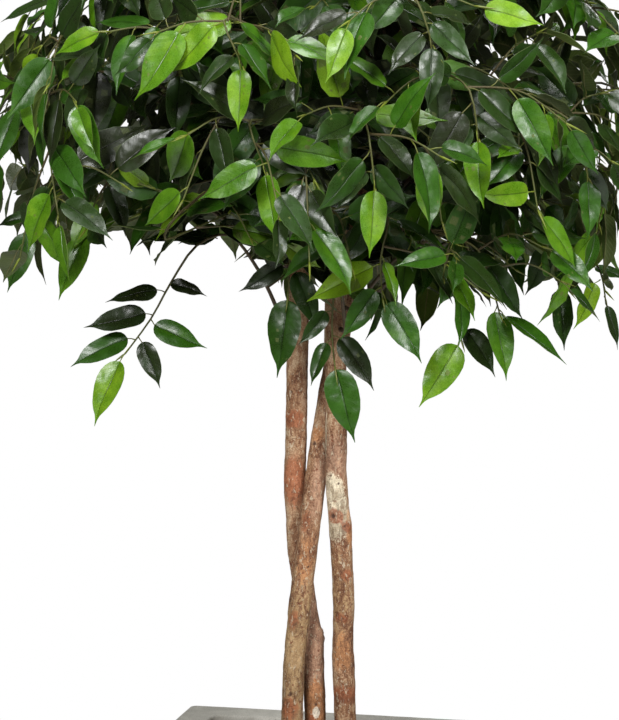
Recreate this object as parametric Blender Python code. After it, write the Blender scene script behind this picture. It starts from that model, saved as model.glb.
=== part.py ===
# A weeping fig grown as a topiary: three bare stems cross above a square concrete planter
# and carry one round crown of hanging leafy sprays. Metres, +Z up, the origin under the
# middle of the planter's base, with the planter's sides along X and Y.
import math
import random

import bmesh
import bpy
from mathutils import Matrix, Vector
from mathutils.bvhtree import BVHTree

# Driving dimensions
GAP = 0.0004
VIEW_YAW = math.radians(12.5)

PLANTER_SIDE = 0.406
PLANTER_HEIGHT = 0.380
RIM_WIDTH = 0.0387
FLOOR_THICK = 0.040
OUTER_CORNER = 0.007
INNER_CORNER = 0.014
RIM_EDGE = 0.003

SOIL_DEPTH_BELOW_RIM = 0.034
SOIL_MOUND = 0.007
STEM_HOLE_PLAY = 0.0008

STEM_FOOT = 0.175
STEM_RADIUS = 0.0122
STEM_TOP_RADIUS = 0.0085
STEM_SIDES = 8
STEM_STEP = 0.038

CROWN_CENTRE = Vector((0.0, 0.0, 1.050))
CROWN_RADIUS = 0.371
CROWN_UP = 0.326
CROWN_DOWN = 0.200

SPRAY_ROOT_RADIUS = 0.0036
SPRAY_TIP_RADIUS = 0.0018
TWIG_SIDES = 3
SPRAY_STEPS = 7
SPRAY_START = 0.012
SPRAY_ARCH = 0.16
LOWEST_ROOT = 0.865
ROOT_SPREAD = (-0.025, 0.055)
ROOT_CLIMB = 1.15
BELOW_STEM_TOP = 0.006
LEAFLESS_SHARE = 0.34
LEAF_SPACING = 0.043

LEAF_LENGTH = (0.064, 0.084)
LEAF_SLENDERNESS = (0.40, 0.46)
YOUNG_LEAF_SCALE = 0.86
PETIOLE = 0.011
STALK_BEND = 0.7
LEAF_RIB = 0.0011
LEAF_FOLD = 0.045
LEAF_SAG = 0.10
STALK_HALF = 0.0007
LEAF_TRIES = 10
SPRAY_TRIES = 40
CLEARANCE = 0.0009
ROOT_SINK = 0.002

# Along the blade, and half its width there as a share of the widest
BLADE_STATIONS = ((0.0, 0.08), (0.24, 0.95), (0.62, 0.80), (1.0, 0.0))

# The stems' centre lines as across, deep and up, seen along the planter's turned view
STEM_LINES = {
    "stem_left": (
        (-0.001, 0.0140, 0.346), (-0.003, 0.0140, 0.418), (-0.006, 0.0142, 0.492),
        (-0.0155, 0.0145, 0.567), (-0.0233, 0.0142, 0.630), (-0.0252, 0.0132, 0.700),
        (-0.0238, 0.0120, 0.762), (-0.0227, 0.0095, 0.838), (-0.0210, 0.0070, 0.916),
        (-0.0182, 0.0050, 0.993), (-0.0200, 0.0020, 1.077), (-0.0260, 0.0000, 1.150),
        (-0.0340, 0.0000, 1.215),
    ),
    "stem_middle": (
        (-0.0300, -0.0125, 0.346), (-0.0289, -0.0125, 0.425), (-0.0259, -0.0130, 0.499),
        (-0.0177, -0.0130, 0.572), (-0.0105, -0.0085, 0.633), (-0.0021, 0.0020, 0.697),
        (0.0079, 0.0090, 0.762), (0.0150, 0.0125, 0.803), (0.0250, 0.0165, 0.858),
        (0.0381, 0.0240, 0.936), (0.0516, 0.0330, 1.014), (0.0673, 0.0420, 1.100),
        (0.0864, 0.0500, 1.159), (0.1080, 0.0560, 1.208),
    ),
    "stem_right": (
        (0.0315, -0.0060, 0.346), (0.0304, -0.0060, 0.423), (0.0280, -0.0065, 0.498),
        (0.0285, -0.0072, 0.563), (0.0252, -0.0095, 0.628), (0.0202, -0.0125, 0.700),
        (0.0203, -0.0150, 0.746), (0.0197, -0.0175, 0.800), (0.0188, -0.0190, 0.851),
        (0.0196, -0.0210, 0.939), (0.0210, -0.0235, 1.026), (0.0190, -0.0290, 1.108),
        (0.0100, -0.0370, 1.185), (0.0020, -0.0430, 1.225),
    ),
}

# Branch scars that stand out of the bark: height, bearing in degrees, how far out
STEM_KNOTS = {
    "stem_left": ((0.510, -10, 0.0030), (0.690, -150, 0.0012), (0.880, 60, 0.0020)),
    "stem_middle": ((0.455, -95, 0.0014), (0.560, 175, 0.0015), (0.735, -120, 0.0016)),
    "stem_right": ((0.655, -100, 0.0018), (0.640, -20, 0.0022), (0.470, 30, 0.0014)),
}

# Sprays that hang where the crown's front shows them, in millimetres: how deep each hangs
# in the turned view, the last points of its twig as across and up, then its leaves as
# across and up where the blade starts and again at its tip, and a fifth number for how much
# nearer than its twig a leaf hangs that passes in front of another
SHOWN_SPRAYS = {
    "fringe_far_left": (
        -90, ((-110, 975), (-147, 932), (-166, 905), (-182, 874), (-201, 851), (-206, 843)),
        ((-170, 914, -226, 904), (-162, 914, -118, 908), (-183, 888, -249, 875), (-178, 877, -119, 851),
         (-197, 862, -266, 833, -12), (-189, 858, -168, 808), (-213, 837, -243, 770, 6))),
    "fringe_stem_left": (
        -100, ((-19, 991), (-29, 959), (-32, 905)),
        ((-37, 941, -82, 910), (-33, 901, -46, 820), (-29, 933, 0, 870))),
    "fringe_stem_right": (
        -140, ((20, 935), (14, 883), (17, 835)),
        ((10, 862, -11, 817), (23, 868, 61, 813), (18, 831, 35, 755), (15, 894, -20, 858))),
    "fringe_middle": (
        -200, ((70, 995), (63, 954), (65, 910)),
        ((67, 904, 106, 846), (57, 920, 24, 868), (64, 953, 82, 905))),
    "fringe_right_low": (
        -130, ((158, 971), (151, 914), (150, 861)),
        ((149, 855, 106, 792), (151, 919, 146, 852), (151, 877, 187, 825), (154, 943, 118, 892))),
    "fringe_right": (
        -160, ((165, 957), (179, 921), (188, 889)),
        ((190, 886, 260, 846), (183, 898, 199, 824), (171, 944, 211, 886), (167, 951, 137, 906))),
    "fringe_far_right": (
        40, ((248, 997), (262, 947), (269, 908)),
        ((269, 902, 277, 836), (264, 930, 305, 892), (259, 958, 234, 897), (253, 975, 296, 948))),
    "fringe_edge_right": (
        20, ((296, 943), (315, 904), (320, 888)),
        ((321, 886, 337, 840), (311, 915, 288, 860), (304, 932, 348, 918))),
    "fringe_left": (
        -120, ((-207, 1060), (-224, 1018), (-242, 974)),
        ((-230, 1008, -262, 955), (-244, 970, -277, 906), (-216, 1039, -259, 1016), (-220, 1028, -199, 972))),
    "fringe_edge_left": (
        -20, ((-292, 1026), (-305, 988), (-314, 970)),
        ((-316, 968, -338, 905), (-303, 994, -351, 979), (-300, 985, -270, 925))),
    "front_middle": (
        -310, ((45, 1090), (49, 1056), (54, 1025)),
        ((54, 1022, 51, 958), (50, 1042, 15, 1005), (49, 1051, 86, 1006))),
    "front_left": (
        -300, ((-67, 1090), (-55, 1061), (-51, 1040)),
        ((-51, 1037, -44, 970), (-55, 1056, -94, 1005), (-57, 1071, -13, 1034))),
    "front_left_high": (
        -330, ((-90, 1184), (-76, 1161), (-73, 1141)),
        ((-73, 1138, -79, 1080), (-76, 1156, -118, 1118), (-79, 1164, -42, 1120))),
    "front_left_out": (
        -260, ((-141, 1178), (-133, 1154), (-135, 1135)),
        ((-136, 1133, -140, 1070), (-134, 1147, -186, 1121), (-135, 1151, -99, 1098))),
    "front_right": (
        -290, ((137, 1129), (149, 1098), (155, 1072)),
        ((155, 1069, 157, 1005), (151, 1088, 112, 1040), (149, 1098, 196, 1061))),
    "front_right_high": (
        -330, ((91, 1203), (105, 1180), (108, 1161)),
        ((108, 1158, 105, 1099), (105, 1175, 65, 1136), (103, 1183, 148, 1143))),
    "front_right_out": (
        -180, ((246, 1101), (267, 1060), (275, 1032)),
        ((275, 1028, 277, 969), (271, 1045, 317, 1005), (263, 1065, 221, 1014))),
}
TIP_NEARER = 0.012
SHOWN_SHARE = 0.72

# The rest of the crown in rings from its top down: name, how many, where their ends hang
# in degrees above the crown's middle, and how far above that the last bend is
CROWN_RINGS = (
    ("top", 4, 68, 14),
    ("upper", 8, 42, 26),
    ("middle", 12, 16, 28),
    ("lower", 12, -12, 28),
    ("skirt", 10, -40, 34),
    ("under", 4, -66, 40),
)
# How low the rings' sprays hang seen from the front, as across and up beside the stems,
# and where they are seen from, as across, deep and up
UNDERSIDE = ((-0.40, 0.895), (-0.30, 0.885), (-0.26, 0.925), (-0.12, 0.945), (-0.05, 0.895),
             (0.00, 0.850), (0.10, 0.850), (0.20, 0.835), (0.40, 0.850))
SEEN_FROM = (-0.009, -2.600, 1.078)
LOWEST_LEAF = 0.055
RING_FIRST_BEARING = 100.0
GOLDEN_ANGLE = 137.508
SHOWN_SPRAY_ROOM = 0.110

CONCRETE = ((0.345, 0.335, 0.292), 0.85)
SOIL = ((0.045, 0.030, 0.020), 0.95)
BARK = ((0.290, 0.155, 0.078), 0.80)
LEAF = ((0.035, 0.120, 0.018), 0.38)

DOWN = Vector((0.0, 0.0, -1.0))
UP = Vector((0.0, 0.0, 1.0))


def clear_scene():
    for obj in list(bpy.data.objects):
        bpy.data.objects.remove(obj, do_unlink=True)


def turned(across, deep, up):
    # From the turned view's axes to the planter's own
    c = math.cos(VIEW_YAW)
    s = math.sin(VIEW_YAW)
    return Vector((across * c - deep * s, across * s + deep * c, up))


def finish(name, look):
    material = bpy.data.materials.get(name) or bpy.data.materials.new(name)
    material.use_nodes = True
    shader = material.node_tree.nodes["Principled BSDF"]
    colour, roughness = look
    shader.inputs["Base Color"].default_value = (*colour, 1.0)
    shader.inputs["Roughness"].default_value = roughness
    shader.inputs["Metallic"].default_value = 0.0
    return material


def solid_object(name, verts, faces, material):
    mesh = bpy.data.meshes.new(name)
    mesh.from_pydata([tuple(v) for v in verts], [], faces)
    tidy = bmesh.new()
    tidy.from_mesh(mesh)
    bmesh.ops.recalc_face_normals(tidy, faces=tidy.faces)
    tidy.to_mesh(mesh)
    tidy.free()
    mesh.materials.append(material)
    obj = bpy.data.objects.new(name, mesh)
    bpy.context.scene.collection.objects.link(obj)
    return obj


def smooth_line(points, steps):
    # A curve through every point, with that many steps between two of them
    line = []
    last = len(points) - 1
    for i in range(last):
        before = points[max(i - 1, 0)]
        a = points[i]
        b = points[i + 1]
        after = points[min(i + 2, last)]
        for k in range(steps):
            t = k / steps
            line.append(0.5 * (2 * a + (b - before) * t
                               + (2 * before - 5 * a + 4 * b - after) * t * t
                               + (3 * a - before - 3 * b + after) * t * t * t))
    line.append(points[last].copy())
    return line


def line_lengths(line):
    run = [0.0]
    for a, b in zip(line, line[1:]):
        run.append(run[-1] + (b - a).length)
    return run


def even_line(line, count):
    # The same curve with count + 1 points, evenly spaced
    run = line_lengths(line)
    even = []
    j = 0
    for k in range(count + 1):
        at = run[-1] * k / count
        while j < len(run) - 2 and run[j + 1] < at:
            j += 1
        even.append(line[j].lerp(line[j + 1], (at - run[j]) / (run[j + 1] - run[j])))
    return even


def tangent_at(line, i):
    return (line[min(i + 1, len(line) - 1)] - line[max(i - 1, 0)]).normalized()


def tube(line, radii, sides):
    # Rings square to the line, carried along it without twist, with closed ends
    verts = []
    across = tangent_at(line, 0).orthogonal().normalized()
    before = tangent_at(line, 0)
    for i, point in enumerate(line):
        tangent = tangent_at(line, i)
        across = before.rotation_difference(tangent) @ across
        before = tangent
        other = tangent.cross(across)
        for k in range(sides):
            turn = math.tau * k / sides
            verts.append(point + radii[i] * (math.cos(turn) * across + math.sin(turn) * other))
    faces = []
    for i in range(len(line) - 1):
        for k in range(sides):
            a = i * sides + k
            b = i * sides + (k + 1) % sides
            faces.append((a, b, b + sides, a + sides))
    faces.append(tuple(reversed(range(sides))))
    faces.append(tuple(range((len(line) - 1) * sides, len(line) * sides)))
    return verts, faces


def rounded_block(name, side, low, high, corner):
    # A square block whose four upright edges are rounded
    block = bmesh.new()
    bmesh.ops.create_cube(block, size=1.0)
    bmesh.ops.scale(block, vec=(side, side, high - low), verts=block.verts)
    bmesh.ops.translate(block, vec=(0, 0, (high + low) / 2), verts=block.verts)
    upright = [e for e in block.edges if abs((e.verts[0].co - e.verts[1].co).z) > side / 1000]
    bmesh.ops.bevel(block, geom=upright, offset=corner, segments=3, profile=0.5, affect="EDGES")
    mesh = bpy.data.meshes.new(name)
    block.to_mesh(mesh)
    block.free()
    obj = bpy.data.objects.new(name, mesh)
    bpy.context.scene.collection.objects.link(obj)
    return obj


def as_cutter(obj):
    obj.hide_render = True
    obj.display_type = "WIRE"
    return obj


def cut_from(obj, cutter, label):
    cut = obj.modifiers.new(label, "BOOLEAN")
    cut.operation = "DIFFERENCE"
    cut.solver = "EXACT"
    cut.object = cutter


def make_planter():
    planter = rounded_block("planter", PLANTER_SIDE, 0.0, PLANTER_HEIGHT, OUTER_CORNER)
    planter.data.materials.append(finish("concrete", CONCRETE))
    inside = PLANTER_SIDE - 2 * RIM_WIDTH
    above = PLANTER_HEIGHT + 0.05
    hollow = as_cutter(rounded_block("planter_hollow", inside, FLOOR_THICK, above, INNER_CORNER))
    cut_from(planter, hollow, "hollow")
    edges = planter.modifiers.new("worn edges", "BEVEL")
    edges.width = RIM_EDGE
    edges.segments = 2
    edges.limit_method = "ANGLE"
    edges.angle_limit = math.radians(50)
    return planter


def stem_line(name):
    points = [turned(*p) for p in STEM_LINES[name]]
    foot = Vector((points[0].x, points[0].y, STEM_FOOT))
    line = smooth_line(points, 6)
    count = round(line_lengths(line)[-1] / STEM_STEP)
    return [foot] + even_line(line, count)


def stem_radius(height):
    soil_top = STEM_LINES["stem_left"][0][2]
    top = STEM_LINES["stem_left"][-1][2]
    climb = min(max((height - soil_top) / (top - soil_top), 0.0), 1.0)
    return STEM_RADIUS + (STEM_TOP_RADIUS - STEM_RADIUS) * max(climb - 0.6, 0.0) / 0.4


def make_stem(name):
    line = stem_line(name)
    radii = [stem_radius(p.z) for p in line]
    verts, faces = tube(line, radii, STEM_SIDES)
    knots = STEM_KNOTS[name]
    for i, vert in enumerate(verts):
        middle = line[i // STEM_SIDES]
        out = vert - middle
        bearing = math.atan2(out.y, out.x)
        swell = 0.0
        for height, degrees, stands_out in knots:
            near = math.exp(-((vert.z - height) / 0.018) ** 2)
            facing = max(math.cos(bearing - math.radians(degrees)), 0.0) ** 3
            swell += stands_out * near * facing
        verts[i] = vert + out.normalized() * swell
    stem = solid_object(name, verts, faces, finish("bark", BARK))
    stem.data.shade_smooth()
    stem.data.set_sharp_from_angle(angle=math.radians(60))
    return stem


def make_soil():
    # The planter's inner outline in rings: the underside, the sides, then a low mound
    side = PLANTER_SIDE - 2 * RIM_WIDTH - 2 * GAP
    top = PLANTER_HEIGHT - SOIL_DEPTH_BELOW_RIM
    outline = []
    for quarter in range(4):
        for k in range(4):
            turn = math.pi / 2 * (quarter + k / 3)
            corner = Matrix.Rotation(math.pi / 2 * quarter, 2) @ Vector((1, 1))
            outline.append(corner * (side / 2 - INNER_CORNER)
                           + Vector((math.cos(turn), math.sin(turn))) * INNER_CORNER)
    verts = []
    underside = FLOOR_THICK + GAP
    rings = ((1 - 2 * RIM_EDGE / side, underside), (1.0, underside + RIM_EDGE),
             (1.0, top - SOIL_MOUND), (0.86, top - SOIL_MOUND / 3), (0.55, top))
    for share, height in rings:
        verts += [Vector((p.x * share, p.y * share, height)) for p in outline]
    count = len(outline)
    steps = len(rings) - 1
    faces = [tuple(range(count)), tuple(range(steps * count, len(verts)))]
    for k in range(steps * count):
        along = k // count * count
        beside = along + (k + 1) % count
        faces.append((k, beside, beside + count, k + count))
    soil = solid_object("soil", verts, faces, finish("soil", SOIL))
    for name in STEM_LINES:
        foot = turned(*STEM_LINES[name][0])
        hole = bmesh.new()
        depth = PLANTER_HEIGHT - STEM_FOOT + GAP
        bmesh.ops.create_cone(hole, cap_ends=True, segments=14, depth=depth,
                              radius1=STEM_RADIUS + STEM_HOLE_PLAY,
                              radius2=STEM_RADIUS + STEM_HOLE_PLAY)
        middle = Vector((foot.x, foot.y, STEM_FOOT - GAP + depth / 2))
        bmesh.ops.translate(hole, vec=middle, verts=hole.verts)
        mesh = bpy.data.meshes.new(name + "_hole")
        hole.to_mesh(mesh)
        hole.free()
        cutter = as_cutter(bpy.data.objects.new(name + "_hole", mesh))
        bpy.context.scene.collection.objects.link(cutter)
        cut_from(soil, cutter, name + " hole")
    return soil


def crown_point(bearing, rise, share=1.0):
    # A point of the crown's shell, by its bearing and its height above the middle in degrees
    upright = CROWN_UP if rise > 0 else CROWN_DOWN
    b = math.radians(bearing)
    r = math.radians(rise)
    shell = Vector((CROWN_RADIUS * math.cos(r) * math.cos(b),
                    CROWN_RADIUS * math.cos(r) * math.sin(b),
                    upright * math.sin(r)))
    return CROWN_CENTRE + shell * share


def crown_facing(point):
    # The way a leaf faces at that point: out of the crown, and never downwards
    reach = point - CROWN_CENTRE
    rise = max(reach.z / CROWN_UP ** 2, 0.25 / CROWN_RADIUS)
    return Vector((reach.x / CROWN_RADIUS ** 2, reach.y / CROWN_RADIUS ** 2, rise)).normalized()


def hangs_low(point):
    # Whether the point is under the crown's underside, seen from the front
    seen = turned(*SEEN_FROM)
    plane = turned(0.0, -SEEN_FROM[1], 0.0).normalized()
    reach = point - seen
    beside = seen + reach * (-SEEN_FROM[1] / reach.dot(plane))
    across = beside.dot(turned(1.0, 0.0, 0.0))
    for (a, up_a), (b, up_b) in zip(UNDERSIDE, UNDERSIDE[1:]):
        if a <= across < b:
            return beside.z < up_a + (up_b - up_a) * (across - a) / (b - a)
    return False


def shown(across, up, deep):
    return turned(across / 1000, deep / 1000, up / 1000)


def spray_plan():
    # Every spray as its name, the last points of its twig, and its leaves laid by hand
    plan = []
    nearer = turned(0.0, -TIP_NEARER, 0.0)
    for name, (deep, twig, leaves) in SHOWN_SPRAYS.items():
        laid = []
        for a, b, c, d, *forward in leaves:
            out = deep - sum(forward)
            laid.append((shown(a, b, out), shown(c, d, out) + nearer))
        plan.append(("spray_" + name, [shown(*p, deep) for p in twig], laid))
    shown_ends = [twig[-1] for _, twig, _ in plan]
    for ring, (name, count, rise, bend_above) in enumerate(CROWN_RINGS):
        chance = random.Random(100 + ring)
        for k in range(count):
            bearing = RING_FIRST_BEARING + GOLDEN_ANGLE * ring + 360.0 * k / count
            bearing += chance.uniform(-6, 6)
            end = crown_point(bearing, rise + chance.uniform(-6, 6), chance.uniform(0.92, 1.04))
            while hangs_low(end - UP * LOWEST_LEAF):
                end += UP * 0.01
            swing = chance.uniform(-12, 12)
            bend = crown_point(bearing + swing, rise + bend_above, 0.90)
            if min((end - e).length for e in shown_ends) > SHOWN_SPRAY_ROOM:
                plan.append((f"spray_{name}_{k + 1}", [bend, end], []))
    return plan


def stem_for(end):
    # The stem whose side of the crown the spray is on
    bearing = math.degrees(math.atan2(end.y, end.x)) % 360.0
    if 140.0 <= bearing < 250.0:
        return "stem_left"
    if bearing >= 250.0 or bearing < 5.0:
        return "stem_right"
    return "stem_middle"


def root_on(stem_points, height, bearing):
    # A point just off the bark at that height, and the way straight out of the stem there
    upper = next(i for i, p in enumerate(stem_points) if p.z >= height or i == len(stem_points) - 1)
    a = stem_points[upper - 1]
    b = stem_points[upper]
    share = min((height - a.z) / (b.z - a.z), 1.0)
    middle = a.lerp(b, share)
    along = (b - a).normalized()
    out = Vector((math.cos(bearing), math.sin(bearing), 0.0))
    out = (out - along * out.dot(along)).normalized()
    return middle + out * (stem_radius(middle.z) + GAP), out


def spray_line(number, twig, stem_points, attempt):
    chance = random.Random(5000 + number * 40 + attempt)
    top = stem_points[-1].z
    bend, end = twig[0], twig[-1]
    rise = (end.z - (CROWN_CENTRE.z - CROWN_DOWN)) / (CROWN_UP + CROWN_DOWN)
    height = LOWEST_ROOT + (top - LOWEST_ROOT) * min(max(rise * ROOT_CLIMB, 0.0), 1.0)
    height = min(max(height + chance.uniform(*ROOT_SPREAD), LOWEST_ROOT), top - BELOW_STEM_TOP)
    bearing = math.atan2(bend.y, bend.x) + chance.uniform(-0.5, 0.5)
    root, out = root_on(stem_points, height, bearing)
    start = root + out * SPRAY_START
    knee = start.lerp(bend, 0.45)
    knee += UP * (SPRAY_ARCH * (bend - start).length + chance.uniform(-0.012, 0.012))
    return [root] + even_line(smooth_line([start, knee, *twig], 8), SPRAY_STEPS)


def spray_radii(line):
    last = len(line) - 1
    return [SPRAY_ROOT_RADIUS + (SPRAY_TIP_RADIUS - SPRAY_ROOT_RADIUS) * (i / last) ** 0.8
            for i in range(last + 1)]


def point_on(line, share):
    at = share * (len(line) - 1)
    i = min(int(at), len(line) - 2)
    return line[i].lerp(line[i + 1], at - i), (line[i + 1] - line[i]).normalized()


def site_of(root, stalk, seed, ends=False, youth=0.3, laid=None):
    return {"root": root, "stalk": stalk, "seed": seed, "ends": ends, "youth": youth, "laid": laid}


def leaf_sites(number, line, laid):
    # Where leaves grow on a spray: those laid by hand, then on one side of its twig and the
    # other, and at its end
    sites = []
    last = SHOWN_SHARE if laid else 1.0
    count = round(line_lengths(line)[-1] * (last - LEAFLESS_SHARE) / LEAF_SPACING)
    hand = 1 if number % 2 else -1
    for k, (start, tip) in enumerate(laid):
        near = [point_on(line, j / 80)[0] for j in range(79)]
        root = min(near, key=lambda p: (p - start).length)
        sites.append(site_of(root, (start - root).normalized(), number * 200 + 180 + k,
                             laid=(start, tip)))
    for k in range(count):
        share = LEAFLESS_SHARE + (last - LEAFLESS_SHARE) * (k + 0.3) / count
        point, tangent = point_on(line, share)
        lateral = tangent.cross(crown_facing(point)).normalized() * hand
        hand = -hand
        stalk = (tangent * 0.55 + lateral * 0.85).normalized()
        sites.append(site_of(point, stalk, number * 200 + k, youth=0.15 + 0.45 * share))
    if not laid:
        end_way = tangent_at(line, len(line) - 1)
        sites.append(site_of(line[-1], end_way, number * 200 + 190, ends=True, youth=1.0))
    return sites


def stalk_way(away, axis):
    # The way a stalk runs between twig and blade, without a fold at either end
    way = (away + axis * STALK_BEND).normalized()
    while way.dot(axis) < STALK_BEND / 2:
        way = (way + axis * STALK_BEND / 2).normalized()
    return way


def leaf_pose(site, attempt):
    # Where the blade starts, which way it points and faces, and its length and width
    chance = random.Random(site["seed"])
    length = chance.uniform(*LEAF_LENGTH) * (1 - (1 - YOUNG_LEAF_SCALE) * site["youth"])
    slenderness = chance.uniform(*LEAF_SLENDERNESS)
    hang = chance.uniform(0.15, 0.66)
    roll = chance.gauss(0.0, 0.28)
    yaw = chance.uniform(-0.2, 0.2)
    if attempt:
        retry = random.Random(site["seed"] * 31 + attempt)
        hang = retry.uniform(0.05, 0.90)
        roll = retry.gauss(0.0, 0.45)
        yaw = retry.uniform(-0.9, 0.9)
    facing = crown_facing(site["root"])
    if site["laid"]:
        facing = (facing + turned(0.0, -1.6, 0.3)).normalized()
        start, tip = site["laid"]
        tip = tip + facing * (TIP_NEARER * yaw * attempt)
        stalk = stalk_way(site["stalk"], (tip - start).normalized())
        start = site["root"] + stalk * max((start - site["root"]).length, PETIOLE * 0.7)
        length = (tip - start).length
        axis = (tip - start) / length
    else:
        away = Matrix.Rotation(yaw, 3, facing) @ site["stalk"]
        axis = (away * (1 - hang) + DOWN * hang).normalized()
        start = site["root"] + stalk_way(away, axis) * PETIOLE
    face = facing + UP * 0.25
    face = (face - axis * face.dot(axis)).normalized()
    face = Matrix.Rotation(roll, 3, axis) @ face
    return start, axis, face, length, length * slenderness


def blade(site, pose, fat=0.0):
    # The leaf as a closed solid: a stalk, then a flat top with a raised rib under it.
    # Fat grows it on all sides, for testing how clear it is
    start, axis, face, length, width = pose
    sink = ROOT_SINK if site["ends"] else 0.0
    line = [site["root"] - (start - site["root"]).normalized() * sink]
    halves = [STALK_HALF]
    for share, half in BLADE_STATIONS:
        line.append(start + axis * length * share - face * LEAF_SAG * length * share ** 2)
        halves.append(half * width / 2)
    verts = []
    faces = []
    last = len(line) - 1
    for i in range(last):
        tangent = tangent_at(line, i)
        across = tangent.cross(face).normalized()
        out = across.cross(tangent)
        fold = LEAF_FOLD * halves[i] if i else 0.0
        edge = line[i] + out * (fold + fat + STALK_HALF / 2)
        side = across * (halves[i] + fat)
        verts += [edge - side, edge + side, line[i] - out * (LEAF_RIB + fat)]
    verts.append(line[last] + axis * fat)
    for i in range(last - 1):
        a = 3 * i
        for k in range(3):
            b = (k + 1) % 3
            faces += [(a + k, a + b, a + 3 + b), (a + k, a + 3 + b, a + 3 + k)]
    a = 3 * (last - 1)
    tip = 3 * last
    faces += [(a, a + 1, tip), (a + 1, a + 2, tip), (a + 2, a, tip), (2, 1, 0)]
    return verts, faces


def tree_of(verts, faces):
    return BVHTree.FromPolygons([tuple(v) for v in verts], faces)


def fat_tube(line, radii, fat):
    return tree_of(*tube(line, [r + fat for r in radii], TWIG_SIDES))


def hits(tree, others):
    return any(tree.overlap(other) for other in others)


def place_sprays(stem_trees, stem_lines):
    # Each spray's twig, bent clear of the stems and of the sprays before it
    sprays = []
    taken = list(stem_trees.values())
    for number, (name, twig, laid) in enumerate(spray_plan()):
        stem = stem_for(twig[-1])
        for attempt in range(SPRAY_TRIES):
            line = spray_line(number, twig, stem_lines[stem], attempt)
            radii = spray_radii(line)
            own = fat_tube(line, radii, 0.0)
            wide = fat_tube(line[1:], radii[1:], CLEARANCE)
            if not hits(own, taken) and not hits(wide, taken):
                taken.append(own)
                sprays.append({"name": name, "line": line, "radii": radii, "own": own,
                               "sites": leaf_sites(number, line, laid), "leaves": []})
                break
        else:
            print("left out, no clear way to", name)
    return sprays


def place_leaves(sprays, stem_trees):
    # Each leaf turned until it is clear of every stem, twig and leaf of the crown
    leaves = []
    for spray in sprays:
        others = [s["own"] for s in sprays if s is not spray] + list(stem_trees.values())
        for site in spray["sites"]:
            for attempt in range(LEAF_TRIES):
                pose = leaf_pose(site, attempt)
                if not site["laid"] and hangs_low(pose[0] + pose[1] * pose[3]):
                    continue
                middle = pose[0] + pose[1] * pose[3] / 2
                near = [leaf["tree"] for leaf in leaves
                        if (leaf["middle"] - middle).length < 2 * LEAF_LENGTH[1]]
                if hits(tree_of(*blade(site, pose, CLEARANCE)), near + others):
                    continue
                verts, faces = blade(site, pose)
                outer = tree_of(verts[6:], [[i - 6 for i in f] for f in faces if min(f) >= 6])
                if outer.overlap(spray["own"]):
                    continue
                leaves.append({"middle": middle, "tree": tree_of(verts, faces)})
                spray["leaves"].append((verts, faces))
                break
    return leaves


def joined(name, twig, leaves, material):
    # One Boolean union of a spray's twig with its leaves
    spray = solid_object(name, *twig, material)
    repeats = bpy.data.collections.new(name + "_repeats")
    bpy.context.scene.collection.children.link(repeats)
    for k, (verts, faces) in enumerate(leaves):
        leaf = solid_object(f"{name}_leaf_{k}", verts, faces, material)
        bpy.context.scene.collection.objects.unlink(leaf)
        repeats.objects.link(leaf)
    union = spray.modifiers.new("join", "BOOLEAN")
    union.operation = "UNION"
    union.solver = "MANIFOLD"
    union.operand_type = "COLLECTION"
    union.collection = repeats
    bpy.context.view_layer.update()
    graph = bpy.context.evaluated_depsgraph_get()
    whole = bpy.data.meshes.new_from_object(spray.evaluated_get(graph))
    spray.modifiers.clear()
    spray.data = whole
    for leaf in list(repeats.objects):
        bpy.data.objects.remove(leaf, do_unlink=True)
    bpy.data.collections.remove(repeats)
    return spray


def make_sprays(stems):
    stem_trees = {}
    for stem in stems:
        faces = [tuple(p.vertices) for p in stem.data.polygons]
        stem_trees[stem.name] = tree_of([v.co for v in stem.data.vertices], faces)
    sprays = place_sprays(stem_trees, {s.name: stem_line(s.name) for s in stems})
    leaves = place_leaves(sprays, stem_trees)
    leaf_green = finish("leaf", LEAF)
    for spray in sprays:
        twig = tube(spray["line"], spray["radii"], TWIG_SIDES)
        joined(spray["name"], twig, spray["leaves"], leaf_green)
    print(len(sprays), "sprays with", len(leaves), "leaves")


def main():
    clear_scene()
    make_planter()
    stems = [make_stem(name) for name in STEM_LINES]
    make_soil()
    make_sprays(stems)


main()
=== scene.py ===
# The looks of the potted weeping fig topiary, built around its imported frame.
# Metres, +Z up, the origin under the middle of the planter's base
import math
import random

import bpy
import numpy as np
from mathutils import Matrix, Vector, noise
from mathutils.bvhtree import BVHTree


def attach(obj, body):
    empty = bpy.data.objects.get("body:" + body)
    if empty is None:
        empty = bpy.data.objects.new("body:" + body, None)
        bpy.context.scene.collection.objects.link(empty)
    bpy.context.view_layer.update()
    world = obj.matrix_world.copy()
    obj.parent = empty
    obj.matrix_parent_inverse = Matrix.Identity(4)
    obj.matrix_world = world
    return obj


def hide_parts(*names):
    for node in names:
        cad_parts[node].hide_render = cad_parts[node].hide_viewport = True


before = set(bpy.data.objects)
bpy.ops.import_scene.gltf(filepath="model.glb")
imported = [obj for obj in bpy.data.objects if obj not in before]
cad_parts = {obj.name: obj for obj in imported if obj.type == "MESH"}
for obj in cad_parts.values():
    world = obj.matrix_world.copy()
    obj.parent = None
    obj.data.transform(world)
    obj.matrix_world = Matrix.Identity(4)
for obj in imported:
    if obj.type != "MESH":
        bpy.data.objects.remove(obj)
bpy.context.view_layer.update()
print("frame loaded:", len(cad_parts), "nodes")

gap = 0.0004  # what touching solids of the frame keep between them
up = Vector((0.0, 0.0, 1.0))
down = -up

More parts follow.
